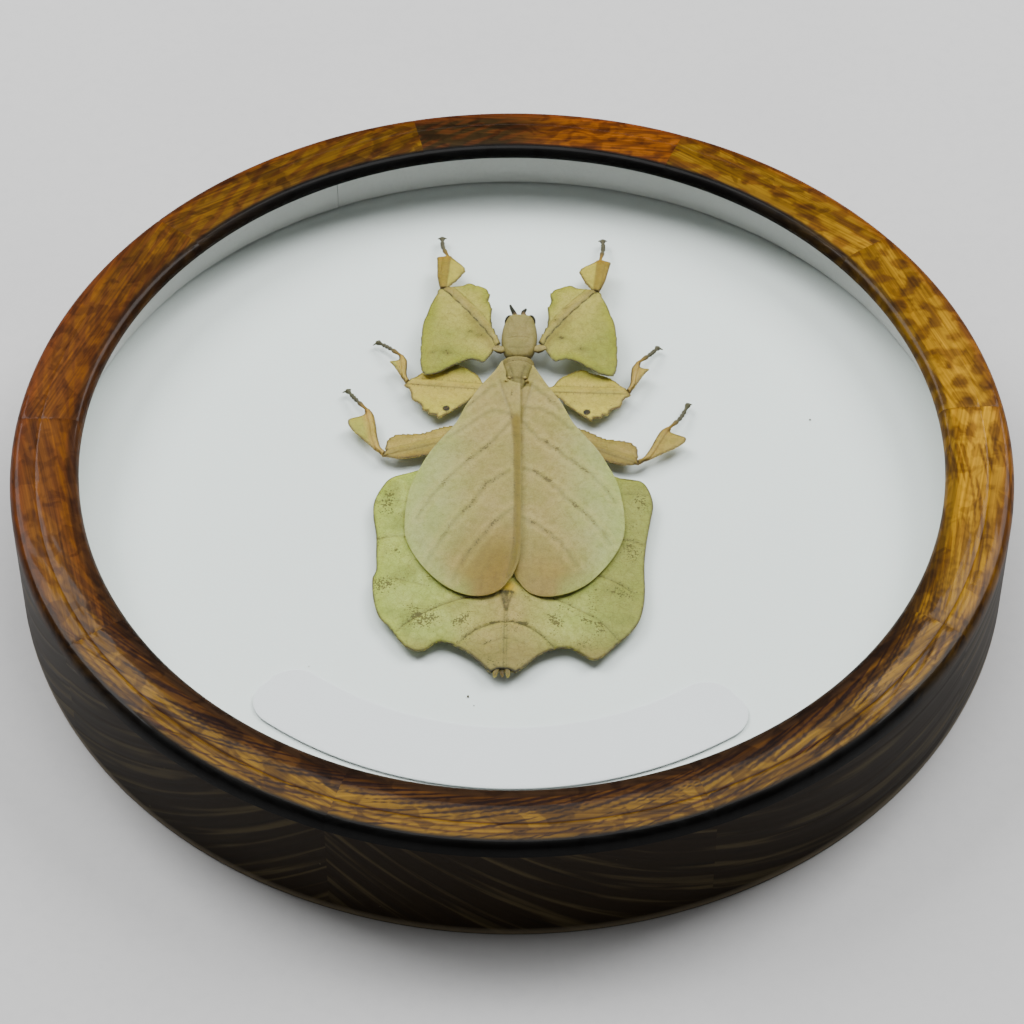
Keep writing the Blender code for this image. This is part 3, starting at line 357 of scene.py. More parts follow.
HIND_TIBIA = (
    (0, 0, 0, 0.5, 0, -0.45),
    (1.3, 0.75, 1.2, 1.35, 1.4, 0.25),
    (2.8, 0.8, 2.8, 2, 2.8, 0.2),
    (4.4, 0.65, 4.4, 2.7, 4.4, 0),
    (6, 0.4, 6, 3.4, 6, -0.35),
    (7.4, 0.2, 7.6, 3.95, 7.4, -0.6),
    (8.5, 0.05, 9, 4.1, 8.4, -0.75),
    (9.2, -0.05, 9.75, 3.6, 9.1, -0.75),
    (9.5, -0.1, 9.6, 2.2, 9.6, -0.7),
    (9.8, -0.1, 9.65, 0.8, 9.9, -0.6),
    (10.5, 0, 10.5, 0.4, 10.5, -0.4),
)
# Each leg: 1 on the left or -1 on the right, how much wider its femur's hind lobe is than the table, lean
# of the tibia's outer lobe, then socket, hip, knee, ankle, half way down the tarsus and its end
Leg = collections.namedtuple("Leg", "side spread lean socket hip knee ankle half_way claws")
LEGS = {
    "front_left": (1, 1, 0, (0.3, 30.2, 14.8), (-2.67, 31.05, 15.8), (-12.5, 45.85, 15.9),
                   (-11.8, 55.5, 14.8), (-12.8, 58.8, 14), (-13, 62, 13.2)),
    "front_right": (-1, 1, 0, (2.2, 30.2, 14.8), (5.37, 31.25, 15.8), (15.3, 45.05, 15.9),
                    (16.3, 54.4, 14.8), (16.9, 58.2, 14), (16.9, 61.3, 13.2)),
    "middle_left": (1, 1.05, 0, (0.2, 23, 14), (-3.9, 22.3, 14.2), (-18.6, 23.8, 14.2),
                    (-20, 30.4, 14.2), (-22.2, 32.9, 13.6), (-24.3, 34.9, 13)),
    "middle_right": (-1, 0.92, 0, (1.6, 23, 14), (5.9, 21.8, 14.2), (20.66, 21.3, 14.2),
                     (22.8, 28.7, 14.2), (25, 31.3, 13.6), (26.4, 33.5, 13)),
    "hind_left": (1, 1, -0.12, (-1.5, 12.8, 13.6), (-6, 11.7, 13.9), (-22.4, 6.6, 13.9),
                  (-25.8, 17.1, 14), (-27.9, 20.1, 13.5), (-29.4, 22.7, 13)),
    "hind_right": (-1, 0.9, 0.12, (2.2, 12.8, 13.6), (6.7, 11.7, 13.9), (22.05, 4.55, 13.9),
                   (27.8, 12.6, 14), (29.9, 15.5, 13.5), (31.4, 19.2, 13)),
}
SHAFT_RISE = 0.32
LAMINA = 0.17  # half the thickness of a lobe
RIM = 0.07  # half the thickness at a margin
LEG_DROOP = 0.003
# How far each coxa's tip lies behind the hip and up along Y, and its radii from root to tip
COXA_REACH = {"front": (0.85, -0.9), "middle": (0.45, 0), "hind": (0.45, -0.1)}
COXA_RADII = {"front": (0.7, 1.05, 0.75, 0.12), "middle": (0.9, 0.85, 0.7, 0.55),
              "hind": (0.9, 0.85, 0.7, 0.55)}
FOOT_JOINTS = (0, 0.34, 0.5, 0.62, 0.74, 1)  # where a tarsus's five joints start and end
# How far each claw turns from the tarsus, in degrees
CLAW_SPREAD = {"front_left": 47, "front_right": 45, "middle_left": 46, "middle_right": 44,
               "hind_left": 48, "hind_right": 27}
CLAW_LENGTH = 1.05
RIGHT_SHADE = 0.82  # painted shade: the middle and hind legs on the right are painted darker
# Olive and brown marks on the front femora as x, y and size, and the dark spot on each middle femur
FEMUR_SPOTS = (
    (-12, 30, 0.6), (-11.3, 29.4, 0.4), (-14.4, 29.8, 0.45), (-6.1, 33.8, 0.8), (-7.5, 34.8, 0.5),
    (9.8, 40.5, 0.35), (7.8, 37.4, 0.35), (12.4, 30.4, 0.6), (9, 33.2, 0.7),
)
MIDDLE_SPOTS = {"middle_left": (-11.7, 17.2), "middle_right": (13.3, 16.2)}
ANTENNAE = {
    "left": ((0.75, 39.3, 15), (0.25, 40.5, 15.3), (-0.1, 41.2, 15.5), (-0.35, 42, 15.6)),
    "right": ((2.2, 39.5, 15), (2.05, 40.5, 15), (2.3, 41.2, 14.8), (2.6, 41.9, 14.6)),
}

# From a colour as it is to look in the picture to what its surface reflects. The film curve is nearly a
# plain share of the dark tones. It flattens the light ones, so they need more. The surface's own sheen is
# taken off, and green and blue are shifted a little, because the curve turns browns redder.
FILM_SHARE = 0.68
FILM_SHOULDER = 5.6
FILM_POWER = 5.2
FILM_SHEEN = 0.008
FILM_HUE = 0.1
LEAST_REFLECTED = 0.003
MOST_REFLECTED = 0.85

# Colours of the insect as they look in the picture, their parts from 0 to 255
KHAKI = (170, 157, 109)
GREY_GREEN = (172, 173, 128)
TAN = (158, 133, 72)
AMBER = (146, 116, 44)
BAND = (135, 114, 52)
LEAF = (176, 181, 115)
PALE_LEAF = (176, 181, 120)
BUFF = (173, 155, 108)
SHELL = (159, 146, 99)
LIME = (163, 162, 88)
PALE_LIME = (176, 170, 106)
STRAW = (184, 173, 104)
GOLD_TAN = (168, 151, 88)
OCHRE = (163, 143, 82)
SLATE = (98, 93, 76)


def shown(red, green, blue):
    """What a surface has to reflect to look this colour."""
    linear = ((np.array((red, green, blue), float) / 255 + 0.055) / 1.055) ** 2.4
    level = FILM_SHARE * linear + FILM_SHOULDER * linear ** FILM_POWER - FILM_SHEEN
    level[1] += FILM_HUE * (level[0] - level[1])
    level[2] -= FILM_HUE * (level[1] - level[2])
    return np.clip(level, LEAST_REFLECTED, MOST_REFLECTED)


def coats(base, *layers):
    """A colour with others laid over it, each with its share. A tuple is a colour as it is to look."""
    result = shown(*base) if isinstance(base, tuple) else base
    for colour, share in layers:
        over = shown(*colour) if isinstance(colour, tuple) else colour
        result = result + (over - result) * np.asarray(share)[..., None]
    return result


# Shapes

def through(rows, stations):
    """Rows of numbers on Catmull-Rom curves through the given ones, at stations that count them."""
    given = np.array(rows, float)
    padded = np.vstack([2 * given[0] - given[1], given, 2 * given[-1] - given[-2]])
    places = np.asarray(stations, float)
    i = np.minimum(places.astype(int), len(given) - 2)
    t = (places - i)[:, None]
    a, b, c, d = (padded[i + k] for k in range(4))
    square = 2 * a - 5 * b + 4 * c - d
    cube = 3 * b - a - 3 * c + d
    return 0.5 * (2 * b + (c - a) * t + square * t ** 2 + cube * t ** 3)


def evenly(rows, steps):
    return np.linspace(0, len(rows) - 1, (len(rows) - 1) * steps + 1)


def curve(points, steps=6):
    return through(points, evenly(points, steps))


def shares(path):
    """0 at a path's first point to 1 at its last."""
    return np.linspace(0, 1, len(path))


def smooth(value, low, high):
    """0 below low, 1 above high, and a smooth rise between."""
    t = np.clip((value - low) / (high - low), 0, 1)
    return t * t * (3 - 2 * t)


def bell(distance, width):
    return np.exp(-(distance / width) ** 2)


def ripple(x, y, size, seed):
    """Smooth random heights, about -1 to 1, with hills about size apart."""
    draw = np.random.default_rng(seed)
    total = np.zeros(np.shape(x))
    for _ in range(7):
        angle = draw.uniform(0, 2 * math.pi)
        wave = size * draw.uniform(0.7, 1.6)
        phase = draw.uniform(0, 6.28)
        total += np.sin(2 * math.pi / wave * (x * math.cos(angle) + y * math.sin(angle)) + phase)
    return total / 3.5


def off_line(x, y, line):
    """Distance from each point to a line, and how far along the line the nearest place is, 0 to 1."""
    line = np.asarray(line, float)
    lengths = np.hypot(*(line[1:] - line[:-1]).T)
    starts = np.concatenate([[0], np.cumsum(lengths)])
    best = np.full(np.shape(x), np.inf)
    along = np.zeros(np.shape(x))
    for (ax, ay), (bx, by), length, start in zip(line[:-1], line[1:], lengths, starts):
        t = np.clip(((x - ax) * (bx - ax) + (y - ay) * (by - ay)) / length ** 2, 0, 1)
        away = np.hypot(x - ax - t * (bx - ax), y - ay - t * (by - ay))
        nearer = away < best
        best = np.where(nearer, away, best)
        along = np.where(nearer, (start + t * length) / starts[-1], along)
    return best, along


def off_rim(x, y):
    """Distance of each point of a grid from the grid's own margin."""
    margin = [np.concatenate([grid[0], grid[-1], grid[:, 0], grid[:, -1]]) for grid in (x, y)]
    tree = kdtree.KDTree(len(margin[0]))
    for k, place in enumerate(zip(*margin)):
        tree.insert((*place, 0), k)
    tree.balance()
    found = [tree.find((*place, 0))[2] for place in zip(x.ravel(), y.ravel())]
    return np.array(found).reshape(x.shape)


# What a layer of a mesh holds, where it is more than a number for each point
LAYER_KINDS = {"grain": ("FLOAT_VECTOR", "vector"), "tint": ("FLOAT_COLOR", "color")}


def object_from(name, points, faces, layers=None, crease=50):
    """A smooth object from points in millimetres, its edges sharp where they turn more than the crease."""
    mesh = bpy.data.meshes.new(name)
    mesh.from_pydata((np.asarray(points, float) * MM).tolist(), [], [tuple(face) for face in faces])
    for layer, values in (layers or {}).items():
        values = np.asarray(values, float)
        kind, field = LAYER_KINDS.get(layer, ("FLOAT", "value"))
        if field == "color":
            values = np.column_stack([values, np.ones(len(values))])
        mesh.attributes.new(layer, kind, "POINT").data.foreach_set(field, values.ravel())
    shape = bmesh.new()
    shape.from_mesh(mesh)
    bmesh.ops.recalc_face_normals(shape, faces=shape.faces)
    shape.to_mesh(mesh)
    shape.free()
    mesh.polygons.foreach_set("use_smooth", [True] * len(mesh.polygons))
    mesh.set_sharp_from_angle(angle=math.radians(crease))
    obj = bpy.data.objects.new(name, mesh)
    bpy.context.scene.collection.objects.link(obj)
    return obj


def placed(obj, look, slot, *nodes):
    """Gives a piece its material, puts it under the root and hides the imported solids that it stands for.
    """
    obj.data.materials.append(look)
    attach(obj, "root")
    if nodes:
        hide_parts(*nodes)
    return obj


def put(name, form, tint, mark, look, slot, *nodes):
    """Makes a piece from points and faces; its tint and its share of flecks may be one value for all."""
    points, faces = form
    layers = {"tint": tint + np.zeros((len(points), 3)), "mark": mark + np.zeros(len(points))}
    placed(object_from(name, points, faces, layers), look, slot, *nodes)


def grid_faces(rows, columns, closed=False):
    """Quads between the points of a grid; closed joins its last column to its first."""
    i, j = np.meshgrid(np.arange(rows - 1), np.arange(columns if closed else columns - 1), indexing="ij")
    a = i * columns + j
    b = i * columns + (j + 1) % columns
    return np.stack([a, b, b + columns, a + columns], -1).reshape(-1, 4)


def sheet(name, x, y, top, bottom, layers):
    """A closed thin sheet over a grid of places, from its top to its bottom."""
    rows, columns = x.shape
    count = rows * columns
    points = np.concatenate([np.stack([x, y, z], -1).reshape(-1, 3) for z in (top, bottom)])
    index = np.arange(count).reshape(rows, columns)
    rim = np.concatenate([index[0, :-1], index[:-1, -1], index[-1, :0:-1], index[:0:-1, 0]])
    after = np.roll(rim, -1)
    quads = grid_faces(rows, columns)
    walls = np.stack([after, rim, rim + count, after + count], -1)
    faces = np.concatenate([quads, quads[:, ::-1] + count, walls]).tolist()
    both = {}
    for layer, values in layers.items():
        values = np.asarray(values).reshape(count, *np.shape(values)[2:])
        both[layer] = np.concatenate([values, values])
    return object_from(name, points, faces, both)


def swept(sections):
    """Points and faces of a closed body from its cross-sections, which have as many points each."""
    count, wide = sections.shape[:2]
    last = count * wide - 1
    faces = grid_faces(count, wide, closed=True).tolist()
    faces += [tuple(range(wide)), tuple(range(last, last - wide, -1))]
    return sections.reshape(-1, 3), faces


def loft(centres, widths, heights, sides=24, power=2):
    """Points and faces of a closed rounded body along a path; widths lie level, heights stand upright."""
    centres = np.asarray(centres, float)
    ahead = np.gradient(centres, axis=0)
    ahead /= np.linalg.norm(ahead, axis=1)[:, None]
    level = np.cross(ahead, (0, 0, 1))
    level /= np.linalg.norm(level, axis=1)[:, None]
    upright = np.cross(level, ahead)
    angles = 2 * math.pi * (np.arange(sides) + 0.5) / sides
    across, up = (np.sign(part) * np.abs(part) ** (2 / power) for part in (np.cos(angles), np.sin(angles)))
    rings = (centres[:, None] + level[:, None] * (np.asarray(widths)[:, None] * across)[..., None]
             + upright[:, None] * (np.asarray(heights)[:, None] * up)[..., None])
    count = len(centres) * sides
    faces = grid_faces(len(centres), sides, closed=True).tolist()
    for k in range(sides):
        after = (k + 1) % sides
        faces.append((k, after, count))
        faces.append((count - sides + after, count - sides + k, count + 1))
    return np.vstack([rings.reshape(-1, 3), centres[0], centres[-1]]), faces


def together(forms):
    """One set of points and faces from several."""
    points, faces, start = [], [], 0
    for form_points, form_faces in forms:
        points.append(form_points)
        faces += [tuple(start + corner for corner in face) for face in form_faces]
        start += len(form_points)
    return np.vstack(points), faces


def ball(centre, radii, sides, rings):
    """Points and faces of an ellipsoid."""
    turns = np.linspace(0.04, math.pi - 0.04, rings)
    centres = np.array(centre) + np.outer(np.cos(turns) * radii[1], (0, -1, 0))
    return loft(centres, np.sin(turns) * radii[0], np.sin(turns) * radii[2], sides)


# Materials

SHADER_SOCKETS = {
    "specular": "Specular IOR Level", "coat": "Coat Weight", "coat_roughness": "Coat Roughness",
    "glow": "Subsurface Weight", "glow_scale": "Subsurface Scale", "glow_radius": "Subsurface Radius",
}


class Look:
    """A material as it is put together: its shader, and short ways to add texture nodes.

    What goes into a node is a number, a colour or another node's output.
    """

    def __init__(self, name, roughness, **fixed):
        self.material = bpy.data.materials.new(name)
        self.material.use_nodes = True
        self.tree = self.material.node_tree
        self.shader = self.tree.nodes["Principled BSDF"]
        self.place = self.node("TexCoord", "Object")
        self.shader.inputs["Roughness"].default_value = roughness
        for word, value in fixed.items():
            self.shader.inputs[SHADER_SOCKETS[word]].default_value = value

    def feed(self, socket, value):
        if isinstance(value, bpy.types.NodeSocket):
            self.tree.links.new(value, socket)
        elif np.ndim(value) == 1 and len(socket.default_value) == 4:
            socket.default_value = (*value, 1)
        else:
            socket.default_value = value

    def node(self, kind, output, inputs=None, **settings):
        """Adds a node and gives its output."""
        made = self.tree.nodes.new("ShaderNode" + kind)
        for key, value in settings.items():
            setattr(made, key, value)
        for key, value in (inputs or {}).items():
            self.feed(made.inputs[key], value)
        return made.outputs[output]

    def layer(self, name, kind="Fac"):
        return self.node("Attribute", kind, attribute_name=name)

    def noise(self, scale, detail=3, place=None, warp=0):
        inputs = {"Vector": place or self.place, "Scale": scale, "Detail": detail, "Distortion": warp}
        return self.node("TexNoise", "Fac", inputs)

    def net(self, scale):
        """Distance to the nearest border between cells."""
        inputs = {"Vector": self.place, "Scale": scale}
        return self.node("TexVoronoi", "Distance", inputs, feature="DISTANCE_TO_EDGE")

    def stretched(self, place, by):
        return self.node("Mapping", "Vector", {"Vector": place, "Scale": by})

    def step(self, value, low, high, start=0, stop=1):
        """A smooth change from start to stop, as a value goes from low to high."""
        inputs = {"Value": value, "From Min": low, "From Max": high, "To Min": start, "To Max": stop}
        return self.node("MapRange", "Result", inputs, interpolation_type="SMOOTHSTEP")

    def calc(self, operation, first, second=0):
        return self.node("Math", 0, {0: first, 1: second}, operation=operation)

    def times(self, first, second):
        return self.calc("MULTIPLY", first, second)

    def plus(self, first, second):
        return self.calc("ADD", first, second)

    def blend(self, share, first, second, how="MIX"):
        return self.node("Mix", 2, {0: share, 6: first, 7: second}, data_type="RGBA", blend_type=how)

    def shade(self, colour, value, low, high, most, tone):
        """Multiplies a colour by a tone, more as a value goes from low to high."""
        return self.blend(self.step(value, low, high, 0, most), colour, tone, "MULTIPLY")

    def finish(self, colour, height, distance):
        """Feeds the shader with the colour and with a relief, its distance in metres."""
        self.feed(self.shader.inputs["Base Color"], colour)
        if distance:
            bumps = self.node("Bump", "Normal", {"Distance": distance, "Height": height})
            self.feed(self.shader.inputs["Normal"], bumps)
        return self.material


def leaf_look(name, roughness, net, netted, glow, fleck, margin, relief):
    """Leaf-like skin: tinted by its layers, mottled, netted with fine veins and strewn with dark flecks."""
    look = Look(name + "_look", roughness, specular=0.22,
                glow=glow, glow_scale=0.0012, glow_radius=(1, 0.9, 0.4))
    cloud = look.noise(900, 4, warp=0.4)
    grain = look.noise(3600, 3)
    edge = look.net(net)
    colour = look.shade(look.layer("tint", "Color"), look.noise(210, 2), 0.36, 0.66, 0.6, (0.8, 0.88, 0.62))
    colour = look.shade(colour, cloud, 0.4, 0.72, 0.5, (0.7, 0.67, 0.5))
    colour = look.blend(look.step(edge, 0, 0.1, netted, 0), colour, (0.6, 0.58, 0.36), "MULTIPLY")
    colour = look.shade(colour, grain, 0.4, 0.7, 0.4, (0.64, 0.6, 0.45))
    broken = look.step(look.noise(1500, 2), 0.3, 0.5, 0.5, 1)
    colour = look.blend(look.times(look.layer("rim"), broken), colour, shown(*margin))
    spots = look.plus(look.noise(2900, 2), look.times(look.layer("mark"), 0.46))
    colour = look.blend(look.step(spots, 0.76, 0.86, 0, 0.85), colour, shown(*fleck))
    bumps = look.plus(look.step(edge, 0, 0.14, 1.4 * netted, 0), look.times(cloud, 1.4))
    return look.finish(colour, look.plus(bumps, look.times(grain, 0.6)), relief)


def eye_look():
    look = Look("eye_look", 0.3, coat=0.3)
    cells = look.net(5200)
    colour = look.blend(look.noise(900), shown(42, 38, 28), shown(68, 60, 42))
    colour = look.blend(look.step(cells, 0, 0.12, 0.6, 0), colour, shown(20, 13, 9))
    return look.finish(colour, look.step(cells, 0, 0.3), 0.00005)


def wood_look():
    """Stained and lacquered wood: each place takes its own tone, under dark streaks and brush marks."""
    look = Look("wood_look", 0.45, coat=0.07, coat_roughness=0.06, specular=0.04)
    grain = look.layer("grain", "Vector")
    hairs = look.noise(3, 2, look.stretched(grain, (0.35, 1, 1)))
    colour = look.shade(look.layer("tint", "Color"), hairs, 0.46, 0.74, 0.55, (1.75, 1.7, 1.5))
    colour = look.shade(colour, hairs, 0.5, 0.3, 0.5, (0.5, 0.42, 0.35))
    streaks = look.step(look.noise(0.42, 3, grain, 0.8), 0.46, 0.62)
    marks = look.step(look.noise(0.5, 2, look.stretched(grain, (7, 0.7, 1)), 0.8), 0.5, 0.6)
    most = look.layer("mark")
    for dark in (streaks, marks):
        colour = look.blend(look.times(dark, most), colour, (0.34, 0.26, 0.2), "MULTIPLY")
    colour = look.shade(colour, look.noise(420, 2), 0.5, 0.7, 0.4, (0.4, 0.34, 0.3))
    return look.finish(colour, look.plus(look.noise(520, 1), look.times(hairs, 0.3)), 0.000012)


def wall_look():
    """The ring's side, stained nearly black, with pale streaks where the turning cut through the grain."""
    look = Look("wall_look", 0.5, coat=0.07, coat_roughness=0.3, specular=0.05)
    grain = look.layer("grain", "Vector")
    drift = look.times(look.noise(0.6, 1, grain, 0.3), 10)
    bands = look.calc("SINE", look.plus(look.times(look.layer("band"), 1.35), drift))
    uneven = look.step(look.noise(1.3, 2, grain), 0.42, 0.62)
    pale = look.times(look.step(bands, -0.3, 1), uneven)
    colour = look.blend(pale, shown(51, 42, 30), shown(86, 74, 56))
    hairs = look.step(look.noise(2.6, 2, grain), 0.5, 0.75, 0, 0.35)
    colour = look.blend(hairs, colour, shown(28, 23, 16))
    colour = look.blend(look.step(look.noise(900, 1), 0.79, 0.84), colour, shown(100, 92, 76))
    return look.finish(look.blend(look.layer("rim"), colour, shown(186, 178, 162)), bands, 0.00003)


def glass_look():
    """Clear glass, seen by its reflections and a little dust."""
    look = Look("glass_look", 0.05)
    clear = look.node("BsdfTransparent", 0, {"Color": (0.97, 0.98, 0.975)})
    gloss = look.node("BsdfGlossy", 0, {"Color": (0.8, 0.8, 0.8), "Roughness": 0.03})
    slant = look.node("LayerWeight", "Facing")
    mirror = look.plus(look.times(look.calc("POWER", slant, 5), 0.6), 0.016)
    dust = look.step(look.noise(1400, 1), 0.74, 0.8, 0, 0.02)
    pane = look.node("MixShader", 0, {0: look.plus(mirror, dust), 1: clear, 2: gloss})
    look.feed(look.tree.nodes["Material Output"].inputs["Surface"], pane)
    return look.material


def sheet_look(name, plain, shaded, scale, depth):
    """Card, paper, foam board or hardboard: a plain colour with a fine fibre and faint stains."""
    look = Look(name, 0.85, specular=0.25)
    colour = look.blend(look.step(look.noise(28, 1), 0.4, 0.75, 0, 0.35), plain, shaded)
    fibre = look.noise(scale, 1)
    colour = look.blend(look.step(fibre, 0.45, 0.7, 0, 0.35), colour, shaded)
    return look.finish(colour, fibre, depth)


# The box frame

RING_SEAM = 0.12  # how wide a glued joint's groove is, in degrees
DARK_SEGMENT = 2  # the segment that is nearly black at one end and red at the other
GROOVES = (81.9, 83, 84)
# How the layers of the wood slope along each segment's side
WALL_SLOPES = (0.35, -0.25, 0.15, 0.3, -0.3, -0.35, -0.7, 0.65, 0.12, -0.3)


def ring_tones(angle, radius, segment):
    """Colour and streakiness of the stained wood, by angle in degrees and radius."""
    near = smooth(-np.sin(np.radians(angle)), 0.1, 0.75) + 0 * radius
    far = smooth(np.sin(np.radians(angle)), 0.2, 0.9) + 0 * radius
    right = smooth(np.cos(np.radians(angle)), -0.6, 0.8)
    arc = np.radians(angle) * radius
    blots = smooth(ripple(arc, radius * 1.7, 5, 90 + segment), 0, 0.4)
    tiles = smooth(ripple(arc * 1.3, radius * 0.5, 3.6, 110 + segment), -0.1, 0.25)
    near_tone = coats((80, 52, 14), ((124, 90, 24), smooth(radius, 78.6, 80.4)))
    tone = coats((110, 62, 6), ((165, 124, 38), right), (near_tone, near), ((108, 78, 24), 0.85 * far))
    if segment == DARK_SEGMENT:
        tone = coats((58, 46, 28), ((128, 68, 24), smooth(100 - angle, 8, 20)))
    tone = coats(
        tone,
        ((112, 48, 14), 0.7 * smooth(radius, 83.2, 85.4) * (1 - near)),
        ((44, 24, 6), 0.9 * near * smooth(80.6 - radius, 0, 0.5) * tiles),
        ((48, 27, 6), 0.9 * near * smooth(radius, 80, 80.6) * blots * tiles),
        ((88, 48, 10), 0.65 * (1 - near) * blots),
        *(((64, 38, 12), 0.85 * near * bell(radius - groove, 0.2)) for groove in GROOVES),
        # painted reflection: the inner bevel on the near side is dark, as it mirrors dark surroundings
        ((58, 42, 18), smooth(77.3 - radius, 0, 0.5) * near),
        # painted shade: the lip is nearly black, most at the far side
        ((20, 12, 6), smooth(76.9 - radius, 0, 0.7) * (0.55 + 0.45 * far) * (1 - 0.6 * near)),
        # painted shade: the outer edge is darker, most on the near side
        ((24, 14, 8), smooth(radius, 84.3, 85.2) * (0.2 + 0.8 * near)),
    )
    return tone, 0.5 + 0.15 * near + 0.1 * far


def ring_segment(segment, start, stop):
    """One glued segment of the ring as points, faces and layers."""
    steps = max(int((stop - start) / 0.5), 8)
    profile = np.vstack([curve(RING_PROFILE, 3), [(REBATE_RADIUS, LIP_UNDERSIDE), (REBATE_RADIUS, 0)]])
    angle = np.linspace(start, stop, steps + 1)[:, None]
    radius, height = (profile[None, :, k] + 0 * angle for k in (0, 1))
    turn = np.radians(angle)
    # The glued joints show as fine grooves in the face, and the lacquer lies a little unevenly
    worn = 0.012 * ripple(turn * radius, radius + 2 * height, 9, 40 + segment)
    seen = (height > FACE_FROM) & (radius < FRAME_RADIUS - 0.2)
    radius = np.minimum(radius, FRAME_RADIUS)
    groove = 0.05 * bell(np.minimum(angle - start, stop - angle), RING_SEAM)
    height = np.clip(height, 0, FRAME_HEIGHT) - seen * (groove - np.minimum(worn, 0))
    points, faces = swept(np.stack([radius * np.cos(turn), radius * np.sin(turn), height], -1))
    centre = math.radians((start + stop) / 2)
    along = radius * np.sin(turn - centre)
    outward = radius * np.cos(turn - centre)
    layer = WALL_SLOPES[segment] * along + 0.8 * outward + height
    wall = (height < WALL_TOP) & (radius > FRAME_RADIUS - 1)
    on_wall = np.stack([along * 0.04, layer * 0.5, 0 * layer], -1)
    on_face = np.stack([along * 0.06, outward * 0.8, height * 0.25], -1)
    draw = np.random.default_rng(300 + segment)
    grain = np.where(wall[..., None], on_wall, on_face) + draw.uniform(-90, 90, 3)
    tone, streak = ring_tones(angle % 360, radius, segment)
    tone = tone * draw.uniform(0.85, 1.1)
    bead = 0.6 * bell(height - 0.3, 0.15) * (radius > FRAME_RADIUS - 0.5)
    layers = {"tint": tone.reshape(-1, 3), "grain": grain.reshape(-1, 3), "mark": streak.ravel(),
              "rim": bead.ravel(), "band": layer.ravel()}
    return points, faces, layers


def make_ring(face_look, side_look):
    """The ring in its ten segments: stained wood on its face, nearly black round its side."""
    ends = [*JOINTS, JOINTS[0] + 360]
    made = [ring_segment(k, ends[k], ends[k + 1]) for k in range(len(JOINTS))]
    points, faces = together([segment[:2] for segment in made])
    layers = {key: np.concatenate([segment[2][key] for segment in made]) for key in made[0][2]}
    ring = object_from("wood_ring", points, faces, layers, RING_CREASE)
    placed(ring, face_look, "stained_wood", "frame_ring")
    ring.data.materials.append(side_look)
    for face in ring.data.polygons:
        outward = math.hypot(face.center.x, face.center.y)
        if face.center.z < WALL_TOP * MM and outward > (FRAME_RADIUS - 1) * MM:
            face.material_index = 1


def make_lining(look):
    """A strip of card round the inside of the case, its ends meeting in an upright seam."""
    steps = 480
    half_gap = 0.0008
    whole = np.linspace(0, 2 * math.pi, steps + 1)
    turn = math.radians(LINING_SEAM) + whole + np.linspace(half_gap, -half_gap, steps + 1)
    wave = np.abs(0.05 * np.sin(turn * 7) + 0.03 * np.sin(turn * 17 + 1))
    low, high = BOARD_TOP + BOARD_GAP, LINING_TOP
    profile = ((LINING_INNER, low), (LINING_INNER, high - 0.1), (LINING_INNER + 0.1, high),
               (LINING_OUTER - 0.1, high), (LINING_OUTER, high - 0.1), (LINING_OUTER, low))
    rows = []
    for r, z in profile:
        reach = r + wave * (r < LINING_INNER + 0.2)
        rows.append(np.stack([reach * np.cos(turn), reach * np.sin(turn), np.full(steps + 1, z)], -1))
    placed(object_from("lining_strip", *swept(np.stack(rows, 1))), look, "lining", "lining_ring")


def make_label(look):
    """A bare arc of paper with rounded ends."""
    low = BOARD_TOP + BOARD_GAP
    middle = (LABEL_INNER + LABEL_OUTER) / 2
    half = (LABEL_TO - LABEL_FROM) / 2
    turns = np.sin(np.linspace(-math.pi / 2, math.pi / 2, 181)) * half
    short = np.clip((np.abs(turns) - half) * middle + LABEL_CORNER, 0, LABEL_CORNER)
    cut = LABEL_CORNER - np.sqrt(np.maximum(LABEL_CORNER ** 2 - short ** 2, 0))
    across = np.sin(np.linspace(-math.pi / 2, math.pi / 2, 25))
    radius = middle + ((LABEL_OUTER - LABEL_INNER) / 2 - cut)[:, None] * across[None, :]
    turn = (LABEL_FROM + LABEL_TO) / 2 + turns[:, None] + 0 * radius
    x, y = radius * np.cos(turn), radius * np.sin(turn)
    rim = off_rim(x, y)
    lift = 0.04 * smooth(np.abs(turns)[:, None] / half, 0.9, 1) + 0.02 * ripple(x, y, 14, 7)
    top = low + LABEL_THICKNESS - 0.06 * bell(rim, 0.12) + np.maximum(lift, 0)
    placed(sheet("paper_label", x, y, top, 0 * top + low, {"rim": bell(rim, 0.15)}), look, "label", "label")


def make_specks(look):
    """Crumbs that have dropped on the board."""
    draw = np.random.default_rng(12)
    forms = []
    for x, y, size in CRUMBS:
        radii = size * draw.uniform(0.5, 1, 3)
        forms.append(ball((x, y, BOARD_TOP + radii[2] * 0.7), radii, 9, 6))
    put("crumbs", together(forms), shown(88, 74, 50), 0, look, "feelers_and_feet")


# The body

def midline(y):
    return HEAD_X + (y - HEAD_Y) * ASKEW


def wing_middle(reach, y, side):
    """Height of a forewing's middle surface. The left wing laps over the right one."""
    rear = smooth(-y, -WING_FALL[0], -WING_FALL[1])
    crown = WING_CROWN + (WING_REAR_CROWN - WING_CROWN) * rear
    away = np.maximum(reach, 0)
    lap = WING_LAP * np.maximum(1 - away / WING_LAP_REACH, 0)
    return WING_EDGE_HEIGHT + crown * (1 - np.minimum(away / WING_HALF_WIDTH, 1) ** 2) - side * lap


